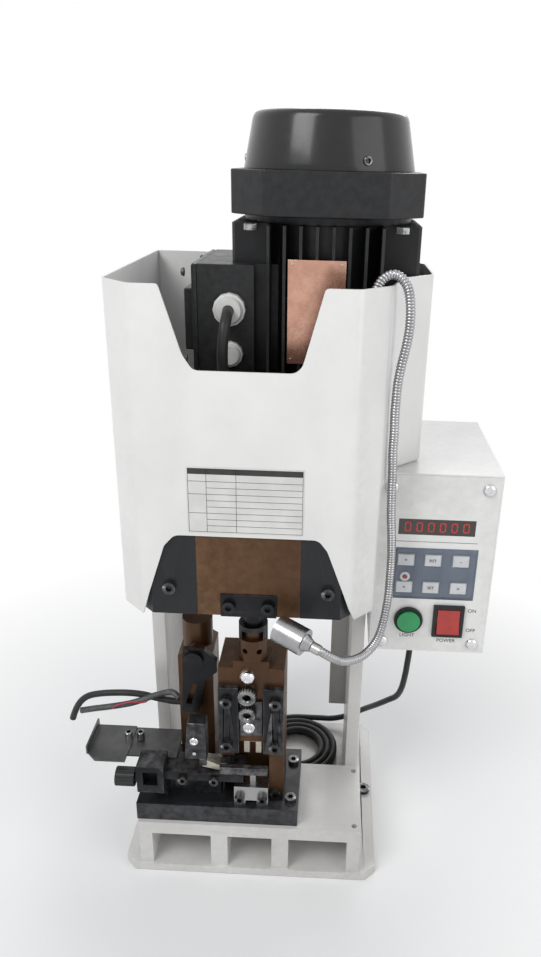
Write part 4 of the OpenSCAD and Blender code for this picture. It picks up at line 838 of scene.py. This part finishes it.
def make_tool_details():
    make_dial("crimp_dial_upper", -2.0, 192, 8.4, 9.0, 3.1, SCREW, 20)
    make_dial("crimp_dial_lower", -2.0, 173, 7.8, 8.0, 2.9, SCREW, 20)
    bm = bmesh.new()
    add_spun(bm, [(0.01, -0.5), (6.4, -0.5), (6.4, 3.2), (6.0, 5.2), (4.6, 6.8), (2.6, 7.6), (2.2, 7.0), (0.01, 7.0)],
             (-1.5, SLIDE_FRONT, 209.5), (0, -1, 0), 48)
    finish_piece("dial_stop", bm, CHROME, body="tool_ram", sharp=40)
    bm = bmesh.new()
    add_screw(bm, (-0.5, SLIDE_FRONT - 2.6, 159), (0, -1, 0), 5.2, 4.2)
    finish_piece("punch_screw", bm, CHROME, body="tool_ram", sharp=30)
    bm = bmesh.new()
    add_block(bm, (-8.6, SLIDE_FRONT - 2.8, 148), (10.6, SLIDE_FRONT - 0.02, 184))
    finish_piece("punch_plate", bm, BLACK_STEEL, body="tool_ram", soften=0.5)
    bm = bmesh.new()
    add_block(bm, (-26, -97.2, 112), (16, -92.0, 119.5))
    add_block(bm, (-26, -92.2, 112), (-19, -78.5, 119.5))
    finish_piece("stripper_bar", bm, BLACK_STEEL, soften=0.5)
    bm = bmesh.new()
    add_screw(bm, (-57, -53.2, 185), (0, -1, 0), 5.0, 4.6)
    finish_piece("brass_screw", bm, BRASS, sharp=30)
    bm = bmesh.new()
    for x, y in ((-116.6, -53.4), (-105.6, -52.6)):
        add_screw(bm, (x, y, 108.8), (0, 0, 1), 3.6, 7.5)
    finish_piece("guide_screws", bm, SCREW, sharp=30)


def make_feed_finger():
    bm = bmesh.new()
    top = add_block(bm, (-58, -88.4, 119.2), (-38.6, -75.6, 158))
    for vert in top:
        if vert.co.z > 0.15 and vert.co.x < -0.05:
            vert.co.x += 3.5 * MM
    add_block(bm, (-45, -88.4, 112.4), (-38.6, -75.6, 119.4))
    block = finish_piece("feed_block", bm, BLACK_STEEL, body="finger", node="feed_finger", soften=0.7)
    bm = bmesh.new()
    tip = add_block(bm, (-43, -87.2, 106.3), (-24, -76.8, 119))
    for vert in tip:
        if vert.co.x > -0.03:
            if vert.co.z > 0.11:
                vert.co.z -= 7.5 * MM
        elif vert.co.z < 0.11:
            vert.co.z += 4.2 * MM
    finish_piece("feed_tip", bm, CREAM, body="finger", soften=0.5)
    bm = bmesh.new()
    add_screw(bm, (-48.5, -88.4, 141), (0, -1, 0), 3.8, 3.4)
    add_rod(bm, (-49, -88.4, 126), (0, -1, 0), 1.6, 0.8, sides=20)
    finish_piece("feed_screw", bm, CHROME, body="finger", sharp=30)


make_tool_details()
make_feed_finger()


# Stage: a pale floor and plain light

def make_stage():
    world = bpy.data.worlds.new("studio")
    scene.world = world
    world.use_nodes = True
    tree = world.node_tree
    tree.nodes.clear()
    out = tree.nodes.new("ShaderNodeOutputWorld")
    mix = tree.nodes.new("ShaderNodeMixShader")
    plain, seen = (tree.nodes.new("ShaderNodeBackground") for _ in range(2))
    plain.inputs["Color"].default_value = (0.95, 0.97, 1.0, 1)
    plain.inputs["Strength"].default_value = 0.42
    seen.inputs["Color"].default_value = (1, 1, 1, 1)
    seen.inputs["Strength"].default_value = 1.0
    rays = tree.nodes.new("ShaderNodeLightPath")
    total = None
    for ray in ("Is Camera Ray", "Is Glossy Ray", "Is Transmission Ray"):
        if total is None:
            total = rays.outputs[ray]
            continue
        either = tree.nodes.new("ShaderNodeMath")
        either.operation = "MAXIMUM"
        tree.links.new(total, either.inputs[0])
        tree.links.new(rays.outputs[ray], either.inputs[1])
        total = either.outputs[0]
    tree.links.new(total, mix.inputs[0])
    tree.links.new(plain.outputs[0], mix.inputs[1])
    tree.links.new(seen.outputs[0], mix.inputs[2])
    tree.links.new(mix.outputs[0], out.inputs["Surface"])
    bm = bmesh.new()
    bmesh.ops.create_grid(bm, x_segments=1, y_segments=1, size=4)
    mesh = bpy.data.meshes.new("floor")
    bm.to_mesh(mesh)
    bm.free()
    floor = bpy.data.objects.new("floor", mesh)
    scene.collection.objects.link(floor)
    material, tree, shader = node_tree("floor_white")
    shader.inputs["Base Color"].default_value = (0.93, 0.93, 0.93, 1)
    shader.inputs["Roughness"].default_value = 0.9
    shader.inputs["Specular IOR Level"].default_value = 0.1
    white = tree.nodes.new("ShaderNodeEmission")
    mix = tree.nodes.new("ShaderNodeMixShader")
    reach = tree.nodes.new("ShaderNodeVectorMath")
    reach.operation = "LENGTH"
    place = tree.nodes.new("ShaderNodeTexCoord")
    spread = tree.nodes.new("ShaderNodeMapRange")
    spread.inputs["From Min"].default_value = 0.2
    spread.inputs["From Max"].default_value = 0.55
    tree.links.new(place.outputs["Object"], reach.inputs[0])
    tree.links.new(reach.outputs["Value"], spread.inputs["Value"])
    tree.links.new(spread.outputs["Result"], mix.inputs[0])
    tree.links.new(shader.outputs[0], mix.inputs[1])
    tree.links.new(white.outputs[0], mix.inputs[2])
    tree.links.new(mix.outputs[0], tree.nodes["Material Output"].inputs["Surface"])
    mesh.materials.append(material)
    floor.location.z = -0.0004
    for name, place, size, power in (
            ("key_light", (-0.9, -1.1, 1.7), 0.9, 17), ("fill_light", (1.3, -0.8, 1.0), 1.2, 7),
            ("back_light", (0.3, 1.4, 1.5), 1.0, 9)):
        data = bpy.data.lights.new(name, "AREA")
        data.size = size
        data.energy = power
        lamp = bpy.data.objects.new(name, data)
        scene.collection.objects.link(lamp)
        aim = Vector((0.02, 0, 0.3)) - Vector(place)
        lamp.matrix_world = Matrix.Translation(place) @ aim.to_track_quat("-Z", "Y").to_matrix().to_4x4()


make_stage()
scene.view_settings.view_transform = "Standard"
scene.render.resolution_x, scene.render.resolution_y = PHOTO_SIZE
